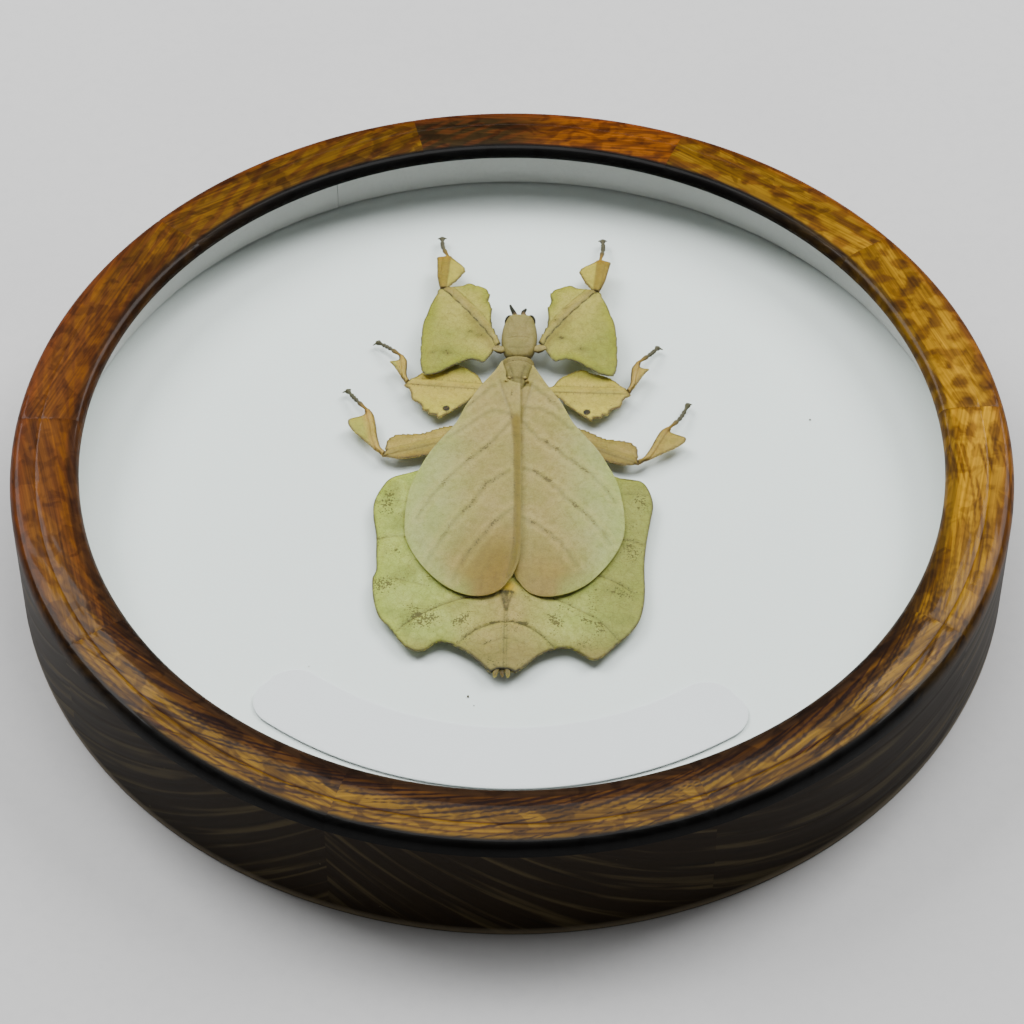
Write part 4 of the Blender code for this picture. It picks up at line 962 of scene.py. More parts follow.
def wing_tint(side, reach, x, y, rim):
    """Khaki, greener where the abdomen shows through towards the margin, amber at the rear on the left."""
    if side < 0:
        tan = 0.85
        amber = smooth(-y, 6, 25) * smooth(9 - np.abs(x + 1), 0, 8)
    else:
        tan = 0.6
        amber = 0.25 * smooth(-y, 18, 24)
    through_wing = smooth(4.5 - rim, 0, 4.5) * smooth(reach, 6, 9) * smooth(5 - y, 0, 6)
    return coats(
        KHAKI,
        (GREY_GREEN, smooth(reach, 5, 15)),
        (TAN, tan * smooth(-y, 9, 23) * (1 - smooth(reach, 8, 17))),
        (AMBER, 0.85 * amber),
        ((172, 178, 118), 0.55 * through_wing),
    )


def wing_grid(side):
    """Places of a forewing's grid, and how far each is from the wings' axis."""
    given = through(WING_ROWS, evenly(WING_ROWS, 14))
    in_w, in_y, out_w, out_y, bow = (given[:, k:k + 1] for k in range(5))
    # At its shoulder the left wing lies nearer the axis than the right one
    in_w = in_w + side * 0.35 * smooth(in_y, 21, 23.5)
    out_w = out_w + min(side, 0) * 0.85 * smooth(out_y, 20.5, 25.5)
    length = np.hypot(out_w - in_w, out_y - in_y)
    trim = np.clip((WING_OVERLAP[side] - in_w) / (out_w - in_w), 0, 0.9)
    share = trim + (1 - trim) * np.linspace(0, 1, 131)[None, :]
    lift = 4 * bow * share * (1 - share)
    reach = in_w + (out_w - in_w) * share + lift * (in_y - out_y) / length
    y = in_y + (out_y - in_y) * share + lift * (out_w - in_w) / length
    return WING_AXIS + side * reach, y, reach


def make_wing(side, look):
    """A leathery forewing with raised veins; where these are dark, flecks lie along them."""
    word = SIDES[side]
    x, y, reach = wing_grid(side)
    rim = off_rim(x, y)
    # The margin settles on the abdomen
    settled = WING_SETTLE * smooth(6 - y, 0, 4) * smooth(3.5 - rim, 0, 3.5) * smooth(reach, 0.5, 3)
    height = wing_middle(reach, y, side) - settled + 0.04 * ripple(x, y, 8, 20 + side)
    mark = 0.1 * (1 + ripple(x, y, 5, 30 + side))
    uneven = 0.72 + 0.38 * ripple(x, y, 1.6, 33)
    tint = wing_tint(side, reach, x, y, rim)
    for line, dark in VEINS[side]:
        vein = curve(line, 5)
        away, along = off_line(x, y, vein + 0.12 * np.sin(np.arange(len(vein)) * 1.7)[:, None])
        fade = 1 - 0.4 * along
        height = height + 0.07 * bell(away, 0.3) * fade
        tint = coats(tint, ((140, 130, 88), 0.5 * bell(away, 0.36) * fade),
                     ((190, 182, 142), 0.18 * bell(away - 0.95, 0.5)))
        for start, stop, density in dark:
            held = smooth(along, start - 0.03, start + 0.05) * (1 - smooth(along, stop - 0.05, stop + 0.03))
            mark = mark + 0.72 * density * uneven * held * bell(away, 0.5)
            tint = coats(tint, ((124, 112, 72),
                                0.2 * held * density * bell(away, 0.35) * smooth(uneven, 0.4, 0.9)))
    away, _ = off_line(x, y, curve(FOLDS[side], 5))
    height = height + 0.16 * bell(away, 0.3)
    tint = coats(tint, ((128, 112, 68), 0.5 * bell(away, 0.26)))
    if side < 0:
        # The band along the left wing's inner edge, which lies on the right wing
        off_band = x - np.interp(-y, *WING_BAND)
        behind = smooth(-y, -15, -12.5)
        height = height + 0.1 * bell(off_band, 0.25) * behind
        tint = coats(tint, (BAND, 0.9 * smooth(off_band, -0.5, 0.35) * behind),
                     ((128, 106, 54), 0.5 * bell(off_band, 0.2) * behind))
        mark = mark + 0.5 * bell(off_band, 0.3) * smooth(ripple(x, y, 2.5, 34), 0.1, 0.7)
    half = RIM + 0.09 * smooth(rim, 0, 0.5)
    inner_edge = smooth(2.5 - reach, 0, 1)
    layers = {"tint": tint, "mark": mark, "rim": (0.2 + 0.3 * inner_edge) * bell(rim, 0.18)}
    wing = sheet("forewing_" + word, x, y, height + half, height - half, layers)
    placed(wing, look, "forewing", "tegmen_" + word)


def abdomen_grid():
    """Places of the abdomen's grid, their share of the way from the middle to the margin, their distance
    from the middle, and how much each row belongs to the tip."""
    stations = evenly(ABDOMEN_ROWS, 15)
    rows = through(ABDOMEN_ROWS, stations)
    mid_y, left_x, left_y, right_x, right_y = (column[:, None] for column in rows.T)
    share = np.sin(np.linspace(-math.pi / 2, math.pi / 2, 281))[None, :]
    middle = midline(mid_y)
    x = middle + (np.where(share < 0, left_x, right_x) - middle) * np.abs(share)
    y = mid_y + (np.where(share < 0, left_y, right_y) - mid_y) * share ** 2
    return x, y, share, np.abs(x - middle), smooth(stations, 19, 21.5)[:, None]


def abdomen_tint(x, y, away, rim):
    """Leaf green in clouds, yellower along the margin, darker on the right as painted shade, buff and brown
    towards the tip.
    """
    return coats(
        LEAF,
        (PALE_LEAF, smooth(ripple(x, y, 16, 52), -0.8, 0.9)),
        ((146, 152, 78), 0.55 * smooth(ripple(x, y, 7, 53), 0.1, 1)),
        ((170, 178, 88), 0.6 * smooth(2 - rim, 0, 2)),
        # painted shade: the right side is darker
        ((151, 151, 86), 0.75 * smooth(x, 8, 18)),
        (BUFF, 0.85 * bell(away, 8) * smooth(-y, 20, 28)),
        ((152, 138, 84), 0.85 * smooth(-y, 34, 40)),
        ((198, 178, 62), 0.9 * bell(np.hypot(x + 0.4, y + 25), 1.3)),
    )


def make_abdomen(look):
    """The leaf-like abdomen in one skin to its tip, with a rounded body along its middle."""
    x, y, share, away, to_tip = abdomen_grid()
    rim = off_rim(x, y)
    body = (1 - to_tip) * (1 - 0.45 * np.clip((-14 - y) / 16, 0, 1))
    tip = to_tip * 0.35 * bell(away, 2.5)
    back = body * 0.5 * bell(away, 6) + tip
    belly = body * 1.55 * bell(away, 4.5) + tip
    leaf = RIM + 0.16 * smooth(rim, 0, 0.9)
    level = ABDOMEN_HEIGHT - 0.25 * np.abs(share) ** 3 * (1 - to_tip) + 0.05 * ripple(x, y, 9, 50)
    top = level + leaf + back + 0.06 * bell(rim - 0.35, 0.25)
    mark = 0.2 * (1 + ripple(x, y, 6, 51))
    broken = 0.45 + 0.55 * smooth(ripple(x, y, 2.2, 55), -0.4, 0.3)
    tint = abdomen_tint(x, y, away, rim)
    for line, dark in SUTURES:
        apart, _ = off_line(x, y, curve(line, 6))
        top = top - 0.14 * dark * bell(apart, 0.3) + 0.05 * dark * bell(apart - 0.75, 0.4)
        tint = coats(tint, ((84, 70, 34), np.minimum(0.95 * dark, 0.9) * broken * bell(apart, 0.11)),
                     ((138, 134, 76), 0.35 * dark * bell(apart, 0.5)))
        mark = mark + 0.3 * dark * bell(apart, 0.3)
    for fleck_x, fleck_y, half_long, half_wide, turn, density in FLECKS:
        c, s = math.cos(math.radians(turn)), math.sin(math.radians(turn))
        u = ((x - fleck_x) * c + (y - fleck_y) * s) / half_long
        v = ((fleck_y - y) * c + (x - fleck_x) * s) / half_wide
        mark = mark + 0.75 * density * np.exp(-(u * u + v * v)) * (0.8 + 0.3 * ripple(x, y, 1.5, 54))
    for line in MARK_STROKES:
        apart, _ = off_line(x, y, curve(line, 4))
        mark = mark + 0.5 * bell(apart, 0.3)
        tint = coats(tint, ((96, 74, 42), 0.75 * bell(apart, 0.3)))
    layers = {"tint": tint, "mark": mark, "rim": bell(rim, 0.3)}
    skin = sheet("abdomen_skin", x, y, top, level - leaf - belly, layers)
    placed(skin, look, "abdomen_leaf", "abdomen", "abdomen_tip")


def make_cerci(look):
    """The two flat cerci at the end of the abdomen, and the dark tip between them."""
    forms = []
    for side, reach in ((-1, 1.25), (1, 1)):
        root = np.array((midline(-42.5) + side * 0.75, -42.2, ABDOMEN_HEIGHT + 0.05))
        tip = np.array((midline(-44.2) + side * reach, -44.35, ABDOMEN_HEIGHT - 0.05))
        path = curve((root, (root + tip) / 2 + (0.1 * side, 0, 0.06), tip), 8)
        along = shares(path)
        forms.append(loft(path, 0.44 * np.sqrt(np.maximum(1 - along ** 3, 0.01)), 0.26 * (1.1 - along), 24))
    points, faces = together(forms)
    tint = coats((132, 114, 72), ((104, 86, 54), smooth(-points[:, 1], 43.2, 44.3)))
    put("cerci", (points, faces), tint, 0.3, look, "abdomen_leaf")
    root = np.array((midline(-42.6), -42.4, ABDOMEN_HEIGHT - 0.15))
    path = curve((root, root + (0, -0.9, 0), root + (0.05, -1.7, -0.05)))
    form = loft(path, 0.55 * (1.05 - shares(path)), 0.2 * (1.1 - shares(path)), 18)
    put("abdomen_end", form, shown(92, 68, 36), 0.5, look, "abdomen_leaf")


def body_skin():
    """The lofted skin from the head to the metathorax as points, faces, tint and mark."""
    rows = curve(BODY, 10)
    y = rows[:, 0]
    points, faces = loft(np.column_stack([midline(y), y, rows[:, 2]]), rows[:, 1], rows[:, 3], 80, 2.4)
    px, py = points[:, 0].copy(), points[:, 1].copy()
    half_height, level = (np.interp(-py, -y, rows[:, k]) for k in (3, 2))
    above = smooth((points[:, 2] - level) / half_height, 0.1, 0.7)
    mark = 0.16 * (1 + ripple(px, py, 2.5, 60))
    tint = coats(
        SHELL,
        ((151, 137, 90), smooth(-py, -34, -27)),
        ((154, 142, 96), smooth(py, 34, 37)),
        # painted shade: darker below the middle of the body's height
        ((96, 78, 46), 0.6 * (1 - above)),
    )
    # Painted shade in the dark recesses on each side of the neck
    for side in SIDES:
        gap = np.hypot((px - midline(28.6) - side * 2.5) / 1.1, (py - 28.65) / 0.4)
        tint = coats(tint, ((52, 40, 20), 0.9 * bell(gap, 1)))
    lines = 0
    for line, width, depth, dark in BODY_LINES:
        away, _ = off_line(px, py, curve(line, 5))
        lines = lines + depth * bell(away, width)
        tint = coats(tint, ((84, 66, 36), np.minimum(0.7 * dark, 1) * bell(away, width * 0.9)))
        mark = mark + 0.4 * dark * bell(away, width)
    points[:, 2] -= lines * above
    points[:, 2] += 0.03 * above * ripple(px, py, 1.3, 61)
    return points, faces, tint, mark


def tubercles():
    """The spines on the mesothorax, dark at their roots, as points, faces, tint and mark."""
    forms = []
    for distance, place, height in TUBERCLES:
        for side in SIDES:
            root = np.array((midline(place) + side * distance - side * 0.25, place, TUBERCLE_ROOT))
            middle = root + (side * 0.12, -0.05, height * 0.6)
            path = curve((root, middle, root + (side * 0.25, -0.1, height)))
            widths = 0.36 * (1.12 - shares(path))
            forms.append(loft(path, widths, widths, 16))
    points, faces = together(forms)
    pale = smooth(points[:, 2], TUBERCLE_ROOT + 0.05, TUBERCLE_ROOT + 0.3)
    tint = coats((174, 158, 114), ((104, 74, 50), 1 - pale))
    return points, faces, tint, np.full(len(points), 0.2)


def make_body(look):
    """Head, prothorax, mesothorax and metathorax under one skin, with their furrows and tubercles."""
    parts = (body_skin(), tubercles())
    tint, mark = (np.concatenate([part[k] for part in parts]) for k in (2, 3))
    put("body_skin", together([part[:2] for part in parts]), tint, mark, look, "body_shell",
        "head", "pronotum", "mesothorax", "metathorax")


def make_eye(side, look):
    """A dark eye that wraps the front corner of the head, its edge scalloped."""
    arc = curve([(midline(y) + side * reach, y, EYE_HEIGHT) for reach, y in EYE_ARC], 16)
    share = np.linspace(-1, 1, len(arc))
    swell = np.sqrt(np.maximum(1.02 - share ** 2, 0)) * (1 + 0.2 * np.abs(np.sin(share * 9.5)))
    points, faces = loft(arc, 0.19 * swell, 0.52 * swell, 28)
    placed(object_from("eyeball_" + SIDES[side], points, faces), look, "eyes", "eye_" + SIDES[side])


def make_antenna(word, look):
    """A short antenna of nine joints, each wider at its middle."""
    path = curve(ANTENNAE[word], 24)
    share = shares(path)
    joint = (share * 9) % 1
    radius = (0.5 - 0.3 * share) * (0.82 + 0.25 * np.sin(joint * math.pi) ** 0.7)
    radius = radius * np.sqrt(np.minimum((1.02 - share) * 12, 1))
    points, faces = loft(path, radius, radius, 20)
    away = np.linalg.norm(points - path[0], axis=1)
    tint = coats((140, 112, 88), ((62, 60, 50), smooth(away, 0.5, 1.2)))
    put("feeler_" + word, (points, faces), tint, 0.25, look, "feelers_and_feet", "antenna_" + word)


# The legs

def kind_of(name):
    """Front, middle or hind, from a leg's name."""
    return name.split("_")[0]


def bend(before, here, after, side):
    """Half of the turn in plan from one leg piece to the next."""
    first = math.atan2(here[1] - before[1], here[0] - before[0])
    second = math.atan2(after[1] - here[1], after[0] - here[0])
    return side * ((second - first + math.pi) % (2 * math.pi) - math.pi) / 2


def teeth(place, pitch, depth, seed):
    """Steps like a saw's along a margin, a little uneven."""
    uneven = place + 0.22 * pitch * np.sin(place * 2.1 / pitch + seed)
    part = (uneven / pitch) % 1
    return depth * (part - 0.5) * smooth(1 - part, 0, 0.12)


def dashes(along, pitch, seed):
    """A line's darkness along its length: long dashes with short gaps."""
    wave = np.sin(along * 2 * math.pi / pitch + seed) + 0.6 * np.sin(along * 4.3 / pitch + 2 * seed)
    return smooth(wave, -0.9, -0.2)


class Blade:
    """The grid of a leg piece: a shaft between two joints, and a thin lobe with cut teeth on each side.

    The grid's own directions are s, along the shaft from its first joint, and n, across it and outward.
    """

    def __init__(self, name, leg, table, joints, cuts, spread=1, lean=0):
        self.name, self.side = name, leg.side
        # Painted shade: pieces of the middle and hind legs on the right are painted darker
        self.shading = RIGHT_SHADE if leg.side < 0 and kind_of(name) != "front" else 1
        before, self.start, self.end, after = joints
        self.length = math.hypot(self.end[0] - self.start[0], self.end[1] - self.start[1])
        scale = self.length / table[-1][0]
        stations = evenly(table, 16)
        columns = (column[:, None] for column in through(table, stations).T)
        shaft, self.shaft_n, outer, outer_n, inner, inner_n = columns
        outer_n = outer_n * spread
        shaft, outer, inner = shaft * scale, outer * scale + lean * outer_n, inner * scale
        # Near each end the rows turn to meet the next leg piece
        first = (0, math.tan(bend(before, self.start, self.end, leg.side)), stations)
        last = (self.length, -math.tan(bend(self.start, self.end, after, leg.side)), stations[-1] - stations)
        for end_s, slope, rows_off in (first, last):
            close = np.clip(1 - 2 * rows_off, 0, 1)[:, None]
            shaft = shaft + (end_s - shaft) * close
            outer = outer + (end_s + outer_n * slope - outer) * close
            inner = inner + (end_s + inner_n * slope - inner) * close
        outward = (1 + np.cos(np.linspace(0, math.pi, 42)))[None, :] / 2
        inward = (1 - np.cos(np.linspace(0, math.pi, 32)))[None, 1:] / 2
        self.share = np.concatenate([outward, -inward], 1) + 0 * shaft
        self.s = np.concatenate([shaft + (outer - shaft) * outward, shaft + (inner - shaft) * inward], 1)
        self.n = np.concatenate([self.shaft_n + (outer_n - self.shaft_n) * outward,
                                 self.shaft_n + (inner_n - self.shaft_n) * inward], 1)
        for cut in cuts:
            self.saw(*cut)
        self.settle()
        self.at = self.s / self.length
        self.apart = self.n - self.shaft_n

    def saw(self, outward, pitch, depth, first, last):
        """Cuts teeth in one margin between two shares of the length."""
        at = self.s / self.length
        held = smooth(at, first, first + 0.05) * (1 - smooth(at, last - 0.05, last))
        held = held * smooth(self.share * outward, 0.8, 1)
        edge = self.s[:, :1] if outward > 0 else self.s[:, -1:]
        self.n = self.n + outward * held * teeth(edge, pitch, depth, pitch * 7)

    def settle(self):
        """Works out where the grid's points lie, and how far each is from the margin."""
        ahead_x, ahead_y = ((self.end[k] - self.start[k]) / self.length for k in (0, 1))
        self.x = self.start[0] + ahead_x * self.s - ahead_y * self.side * self.n
        self.y = self.start[1] + ahead_y * self.s + ahead_x * self.side * self.n
        self.rim = off_rim(self.x, self.y)
        rise = (self.end[2] - self.start[2]) * np.clip(self.s / self.length, 0, 1)
        self.z = self.start[2] + rise - LEG_DROOP * self.n ** 2 + 0.04 * ripple(self.x, self.y, 5, 70)

    def bar(self, offset, half_width, height):
        """A raised bar along the shaft, as a height over the plane."""
        apart = np.abs(self.n - self.shaft_n - offset) / half_width
        return height * np.maximum(1 - apart ** 2.6, 0) * smooth(self.rim, 0, 0.22)

    def mottled(self, least, size, seed):
        return least * (1 + ripple(self.x, self.y, size, seed))

    def build(self, name, rise, tint, mark):
        half = RIM + (LAMINA - RIM) * smooth(self.rim, 0, 0.5)
        layers = {"tint": tint, "mark": mark, "rim": bell(self.rim, 0.29)}
        return sheet(name, self.x, self.y, self.z + half + rise, self.z - half - 0.6 * rise, layers)


def front_thigh(piece):
    """Lime lobes, a straw-coloured bar between them and a dark broken seam beside it."""
    apart = piece.apart
    rise = piece.bar(-0.6, 0.85, SHAFT_RISE)
    seam = apart - 0.24 - 0.07 * np.sin(piece.s * 2.3)
    tint = coats(
        PALE_LIME,
        (LIME, smooth(apart, 1.5, 9)),
        ((156, 158, 62), 0.75 * smooth(2.6 - piece.rim, 0, 2.6) * smooth(np.abs(apart), 1.5, 4)),
        ((150, 132, 72), 0.7 * bell(apart - 0.9, 1) * (1 - smooth(piece.at, 0.3, 0.8))),
        ((170, 158, 98), smooth(rise, 0.04, 0.2)),
        (OCHRE, 0.7 * smooth(piece.at, 0.8, 1) * smooth(rise, 0.02, 0.2)),
        ((60, 42, 18), 0.9 * bell(seam, 0.11) * (0.45 + 0.55 * dashes(piece.s, 1.9, 1))),
        ((112, 96, 48), 0.6 * bell(apart + 1.5, 0.12)),
    )
    mark = piece.mottled(0.1, 5, 80) + 0.3 * bell(seam, 0.3)
    for x, y, size in FEMUR_SPOTS:
        away = np.hypot(piece.x - x, (piece.y - y) * 1.6)
        mark = mark + 0.7 * bell(away, size)
        tint = coats(tint, ((122, 112, 56), 0.65 * bell(away, 1.7 * size)))
    return rise, tint, mark


def middle_thigh(piece):
    """Straw-coloured lobes with lines and ticks along the shaft, a dark spot and a dark toothed edge."""
    apart = piece.apart
    lines = bell(apart - 0.72, 0.12) + bell(apart + 0.72, 0.12)
    ticks = smooth(np.sin(piece.s * 2 * math.pi / 1.2), 0.8, 0.95) * bell(np.abs(apart) - 1, 0.25)
    x, y = MIDDLE_SPOTS[piece.name]
    off_spot = np.hypot(piece.x - x, piece.y - y)
    toothed = smooth(piece.at, 0.45, 0.6) * smooth(piece.share, 0.3, 0.8)
    tint = coats(
        STRAW,
        ((188, 180, 104), smooth(np.abs(apart), 2, 6)),
        ((150, 146, 70), 0.8 * smooth(-apart, 1.5, 4)),
        (GOLD_TAN, 0.3 * bell(apart, 1)),
        ((134, 120, 66), 0.6 * np.minimum(lines + ticks, 1)),
        ((34, 24, 10), 0.98 * smooth(0.76 - off_spot, 0, 0.2)),
        ((96, 74, 34), 0.8 * toothed * bell(piece.rim, 0.3)),
    )
    mark = piece.mottled(0.1, 4, 81) + 0.25 * lines + 0.5 * bell(off_spot, 0.8)
    return piece.bar(0, 0.8, SHAFT_RISE * 0.5), tint, mark


def hind_thigh(piece):
    """Golden tan, greener at the hip, with a dark edge to its inner lobe."""
    apart = piece.apart
    tint = coats(
        GOLD_TAN,
        ((164, 158, 92), 0.8 * (1 - smooth(piece.s, 0.5, 7))),
        ((164, 130, 58), 0.7 * smooth(apart, 0.8, 2.6) * smooth(piece.at, 0.2, 0.6)),
        ((184, 170, 116), 0.5 * bell(apart + 1.3, 0.7)),
        ((130, 112, 60), 0.35 * (bell(apart - 0.6, 0.14) + bell(apart + 0.6, 0.14))),
        ((84, 66, 28), 0.85 * bell(piece.rim, 0.24) * smooth(-piece.share, 0.3, 0.8)),
    )
    # On the right the tint is darkened as painted shade
    return piece.bar(0, 0.7, SHAFT_RISE * 0.5), tint * piece.shading, piece.mottled(0.12, 4, 82)


def front_shin(piece):
    """A broad pale inner lobe with a dark broken edge."""
    edge = bell(piece.rim, 0.3) * smooth(-piece.share, 0.2, 0.7) * smooth(0.62 - piece.at, 0, 0.2)
    tint = coats(
        (178, 170, 98),
        ((158, 136, 68), smooth(piece.apart, -0.75, -0.35)),
        ((170, 128, 50), 0.6 * smooth(piece.at, 0.8, 1)),
        ((60, 46, 20), 0.8 * edge * dashes(piece.s, 1.2, 0.3)),
    )
    return piece.bar(0.2, 0.75, SHAFT_RISE * 0.9), tint, piece.mottled(0.12, 3, 83)


def rear_shin(piece):
    """An outer lobe notched at its end, greener on the left, and a dark broken inner edge."""
    leafy = 1 if piece.side > 0 else 0.35
    ended = smooth(piece.at, 0.82, 0.92) * smooth(piece.share, 0.2, 0.7)
    inner = bell(piece.rim, 0.2) * smooth(-piece.share, 0.2, 0.8)
    tint = coats(
        (182, 163, 100),
        ((174, 170, 100), leafy * smooth(piece.apart, 0.4, 1.8)),
        ((172, 126, 56), 0.6 * smooth(piece.at, 0.75, 1) * smooth(1.2 - piece.apart, 0, 0.8)),
        ((70, 48, 24), 0.85 * ended * bell(piece.rim, 0.25)),
        ((70, 52, 26), 0.85 * inner * dashes(piece.s, 1, 0.6)),
    )
    # On the right the tint is darkened as painted shade
    return piece.bar(0, 0.5, SHAFT_RISE * 0.8), tint * piece.shading, piece.mottled(0.12, 3, 83)


# For each kind of leg its femur's and tibia's rows, the teeth cut in them and how they are painted. Teeth
# are given by the side outward, pitch, depth, and the first and last share of the length
FEMORA = {
    "front": (FRONT_FEMUR, ((1, 2.6, 0.2, 0.02, 0.92), (1, 0.9, 0.1, 0.02, 0.6), (-1, 2.1, 0.3, 0.1, 0.9)),
              front_thigh),
    "middle": (MIDDLE_FEMUR,
               ((1, 1.7, 0.75, 0.45, 0.98), (1, 0.8, 0.12, 0.1, 0.6), (-1, 0.7, 0.2, 0.12, 0.95)),
               middle_thigh),
    "hind": (HIND_FEMUR, ((1, 0.6, 0.16, 0.6, 0.97), (-1, 1.1, 0.3, 0.12, 0.95)), hind_thigh),
}
TIBIAE = {
    "front": (FRONT_TIBIA, ((-1, 1.4, 0.16, 0.1, 0.85),), front_shin),
    "middle": (MIDDLE_TIBIA, ((1, 0.8, 0.12, 0.1, 0.75),), rear_shin),
    "hind": (HIND_TIBIA, ((1, 0.8, 0.12, 0.1, 0.75),), rear_shin),
}


def make_hip(name, leg, look):
    """A short coxa, a small pale plate that narrows to the thigh."""
    sides = 32
    socket, hip = np.array(leg.socket), np.array(leg.hip)
    root = socket + (hip - socket) * 0.62
    back, up = COXA_REACH[kind_of(name)]
    tip = hip + (-leg.side * back, up, 0.28)
    path = curve((root, root + (tip - root) * 0.35, root + (tip - root) * 0.7, tip), 8)
    widths = np.interp(shares(path) * 3, range(4), COXA_RADII[kind_of(name)])
    widths = widths * np.sqrt(np.minimum((1.01 - shares(path)) * 9, 1))
    points, faces = loft(path, widths, widths * 0.5, sides, 2.2)
    away = np.linalg.norm(points - hip, axis=1)
    # The dark line runs along the plate's two edges, where a section's points are level with its middle
    off_edge = np.abs(np.sin(2 * math.pi * (np.arange(sides) + 0.5) / sides))
    edges = bell(np.append(np.tile(off_edge, len(path)), (0, 0)), 0.42)
    tint = coats((168, 154, 108), ((58, 42, 22), 0.85 * edges), ((60, 44, 22), 0.8 * bell(away - 0.25, 0.2)))
    mark = 0.2 + 0.3 * bell(away - 0.4, 0.4)
    put("hip_" + name, (points, faces), tint, mark, look, "body_shell", "coxa_" + name)


def make_foot(name, leg, look):
    """A tarsus of five joints that widen to their ends, then two hooked claws with a pad between."""
    path = through((leg.ankle, leg.half_way, leg.claws), np.linspace(0, 2, 61))
    path[0] = path[0] - (path[1] - path[0]) * 1.5
    share = shares(path)
    part = np.interp(share, FOOT_JOINTS, range(len(FOOT_JOINTS))) % 1
    radius = 0.28 + 0.17 * smooth(part, 0.3, 0.95) - 0.06 * bell(part - 1, 0.06)
    radius = radius + 0.12 * smooth(share, 0.9, 1)
    radius[-1] = 0.2
    forms = [loft(path, radius, radius * 0.9, 20)]
    heading = (path[-1] - path[-6]) / np.linalg.norm(path[-1] - path[-6])
    root = path[-1] - heading * 0.3
    for turn in (-1, 1):
        swing = turn * math.radians(CLAW_SPREAD[name])
        aim = np.array((heading[0] * math.cos(swing) - heading[1] * math.sin(swing),
                        heading[0] * math.sin(swing) + heading[1] * math.cos(swing), heading[2]))
        hook = curve((root, root + aim * 0.6, root + aim * CLAW_LENGTH * 1.1 - (0, 0, 0.3)), 8)
        taper = np.linspace(0.28, 0.08, len(hook))
        forms.append(loft(hook, taper, taper, 14))
    forms.append(ball(path[-1] + heading * 0.15, (0.36, 0.36, 0.22), 18, 12))
    points, faces = together(forms)
    away = np.linalg.norm(points - leg.ankle, axis=1)
    tint = coats((150, 116, 60), (SLATE, smooth(away, 0.6, 3)))
    put("foot_" + name, (points, faces), tint, 0.3, look, "feelers_and_feet", "tarsus_" + name)


def make_leg(name, leg, looks):
    kind = kind_of(name)
    slot, look = ("green_lobes", looks["green"]) if kind == "front" else ("yellow_lobes", looks["yellow"])
    make_hip(name, leg, looks["shell"])
    table, cuts, paint = FEMORA[kind]
    thigh = Blade(name, leg, table, (leg.socket, leg.hip, leg.knee, leg.ankle), cuts, spread=leg.spread)
    placed(thigh.build("thigh_" + name, *paint(thigh)), look, slot, "femur_" + name)
    table, cuts, paint = TIBIAE[kind]
    shin = Blade(name, leg, table, (leg.hip, leg.knee, leg.ankle, leg.half_way), cuts, lean=leg.lean)
    placed(shin.build("shin_" + name, *paint(shin)), looks["yellow"], "yellow_lobes", "tibia_" + name)
    make_foot(name, leg, looks["feet"])


# The studio

# Soft boxes: name, place in metres, size, power in watts
LAMPS = (
    ("left_box", (-0.55, 0.46, 0.74), 0.5, 12),
    ("right_box", (0.55, 0.46, 0.74), 0.5, 12.4),
    ("top_box", (0, 0.26, 1.15), 0.7, 11.2),
)
LAMP_TARGET = (0, 0, 0.012)
WORLD_COLOUR = (0.83, 0.82, 0.81, 1)
WORLD_STRENGTH = 0.22
FLOOR_REACH = 900
FLOOR_HEIGHT = -0.05
# The photo's camera, worked out from the frame's round edges
LENS = 123.58
CAMERA_TARGET = (0, -16.44, 24)
CAMERA_DISTANCE = 595
CAMERA_RISE = 0.8365


def set_up(name, data, place, target):
    """Puts a lamp or a camera at a place in metres, turned to its target."""
    obj = bpy.data.objects.new(name, data)
    obj.location = place
    obj.rotation_euler = (Vector(target) - obj.location).to_track_quat("-Z", "Y").to_euler()
    bpy.context.scene.collection.objects.link(obj)
    return obj


def make_studio():
    signs = ((-1, -1), (1, -1), (1, 1), (-1, 1))
    floor = object_from("floor", [(x * FLOOR_REACH, y * FLOOR_REACH, FLOOR_HEIGHT) for x, y in signs],
                        [(0, 1, 2, 3)])
    floor.data.materials.append(sheet_look("floor_look", (0.46, 0.46, 0.46), (0.43, 0.43, 0.435), 400, 0))
    for name, place, size, power in LAMPS:
        lamp = bpy.data.lights.new(name, "AREA")
        lamp.shape = "SQUARE"
        lamp.size = size
        lamp.energy = power
        set_up(name, lamp, place, LAMP_TARGET)
    world = bpy.data.worlds.new("studio")
    world.use_nodes = True
    world.node_tree.nodes["Background"].inputs["Color"].default_value = WORLD_COLOUR
    world.node_tree.nodes["Background"].inputs["Strength"].default_value = WORLD_STRENGTH
    bpy.context.scene.world = world


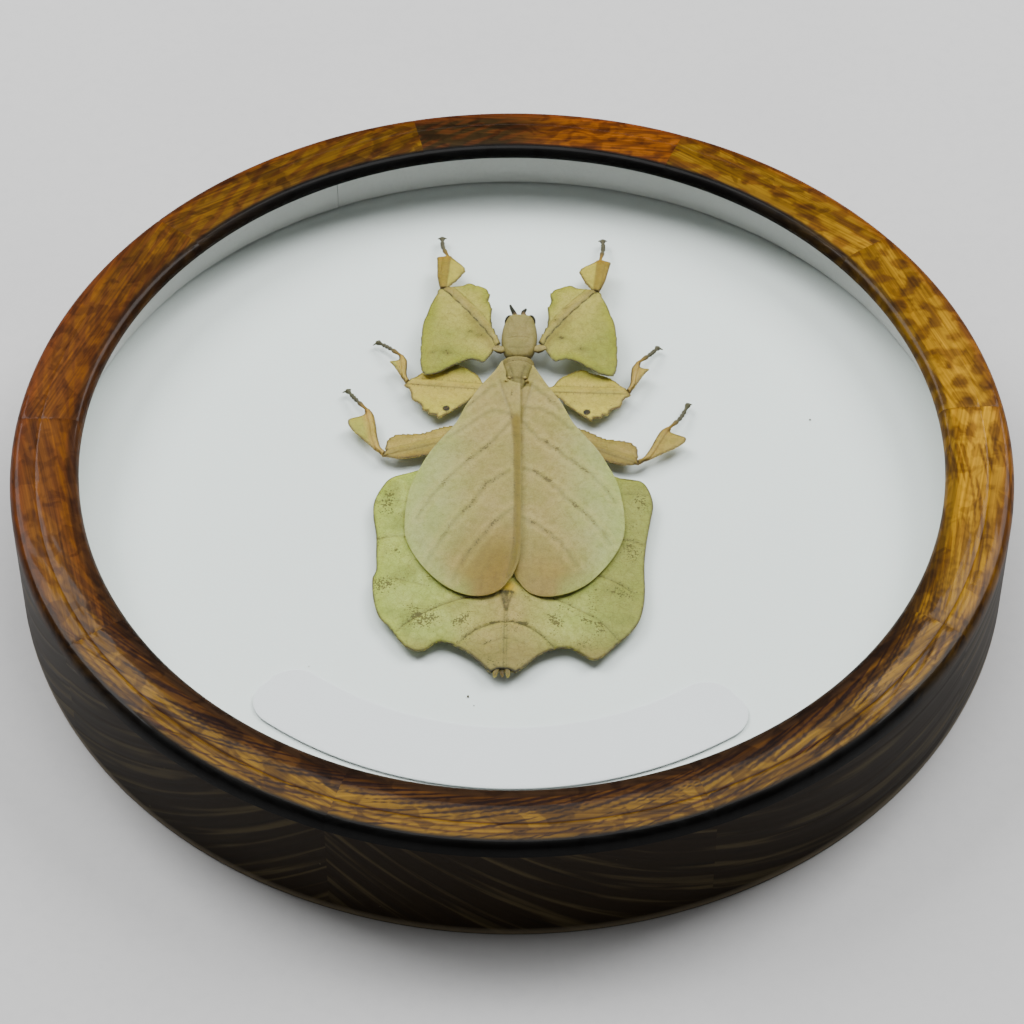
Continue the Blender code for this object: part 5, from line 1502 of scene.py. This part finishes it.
def make_camera():
    lens = bpy.data.cameras.new("camera")
    lens.sensor_width = 36
    lens.lens = LENS
    lens.clip_start = 0.01
    target = Vector(CAMERA_TARGET) * MM
    away = Vector((0, -math.cos(CAMERA_RISE), math.sin(CAMERA_RISE)))
    bpy.context.scene.camera = set_up("camera", lens, target + CAMERA_DISTANCE * MM * away, target)


def keep_node(name, look):
    """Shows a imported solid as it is, with a material of its own."""
    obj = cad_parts[name]
    obj.data.materials.clear()
    obj.data.materials.append(look)


# Leaf-like skins: name, roughness, scale of the veins' net and how dark it is, glow, colour of the flecks
# and of the margin, relief in metres
SKINS = (
    ("wing", 0.5, 820, 0.14, 0.7, (104, 90, 56), (140, 124, 72), 0.00005),
    ("leaf", 0.52, 700, 0.3, 0.7, (92, 84, 44), (58, 52, 20), 0.00006),
    ("green", 0.5, 640, 0.25, 1, (88, 74, 36), (58, 52, 20), 0.00006),
    ("yellow", 0.5, 760, 0.25, 1, (96, 74, 36), (74, 58, 26), 0.00006),
    ("shell", 0.6, 1500, 0.2, 0.3, (96, 76, 46), (58, 52, 20), 0.00008),
    ("feet", 0.55, 2200, 0.3, 0.1, (60, 50, 38), (58, 52, 20), 0.00004),
)


def main():
    looks = {row[0]: leaf_look(*row) for row in SKINS}
    eyes = eye_look()
    make_ring(wood_look(), wall_look())
    make_lining(sheet_look("card_look", (0.66, 0.665, 0.65), (0.58, 0.585, 0.57), 1500, 0.00004))
    make_label(sheet_look("paper_look", (0.71, 0.73, 0.75), (0.66, 0.68, 0.7), 2600, 0.00002))
    make_specks(looks["feet"])
    board = sheet_look("board_look", (0.74, 0.79, 0.775), (0.7, 0.75, 0.735), 1800, 0.00002)
    panel = sheet_look("panel_look", shown(120, 92, 62), shown(84, 60, 38), 1200, 0.00006)
    keep_node("glass_pane", glass_look())
    keep_node("backing_board", board)
    keep_node("back_panel", panel)
    make_body(looks["shell"])
    make_abdomen(looks["leaf"])
    make_cerci(looks["leaf"])
    for side, word in SIDES.items():
        make_wing(side, looks["wing"])
        make_eye(side, eyes)
        make_antenna(word, looks["feet"])
    for name, row in LEGS.items():
        make_leg(name, Leg(*row), looks)
    make_studio()
    make_camera()


main()
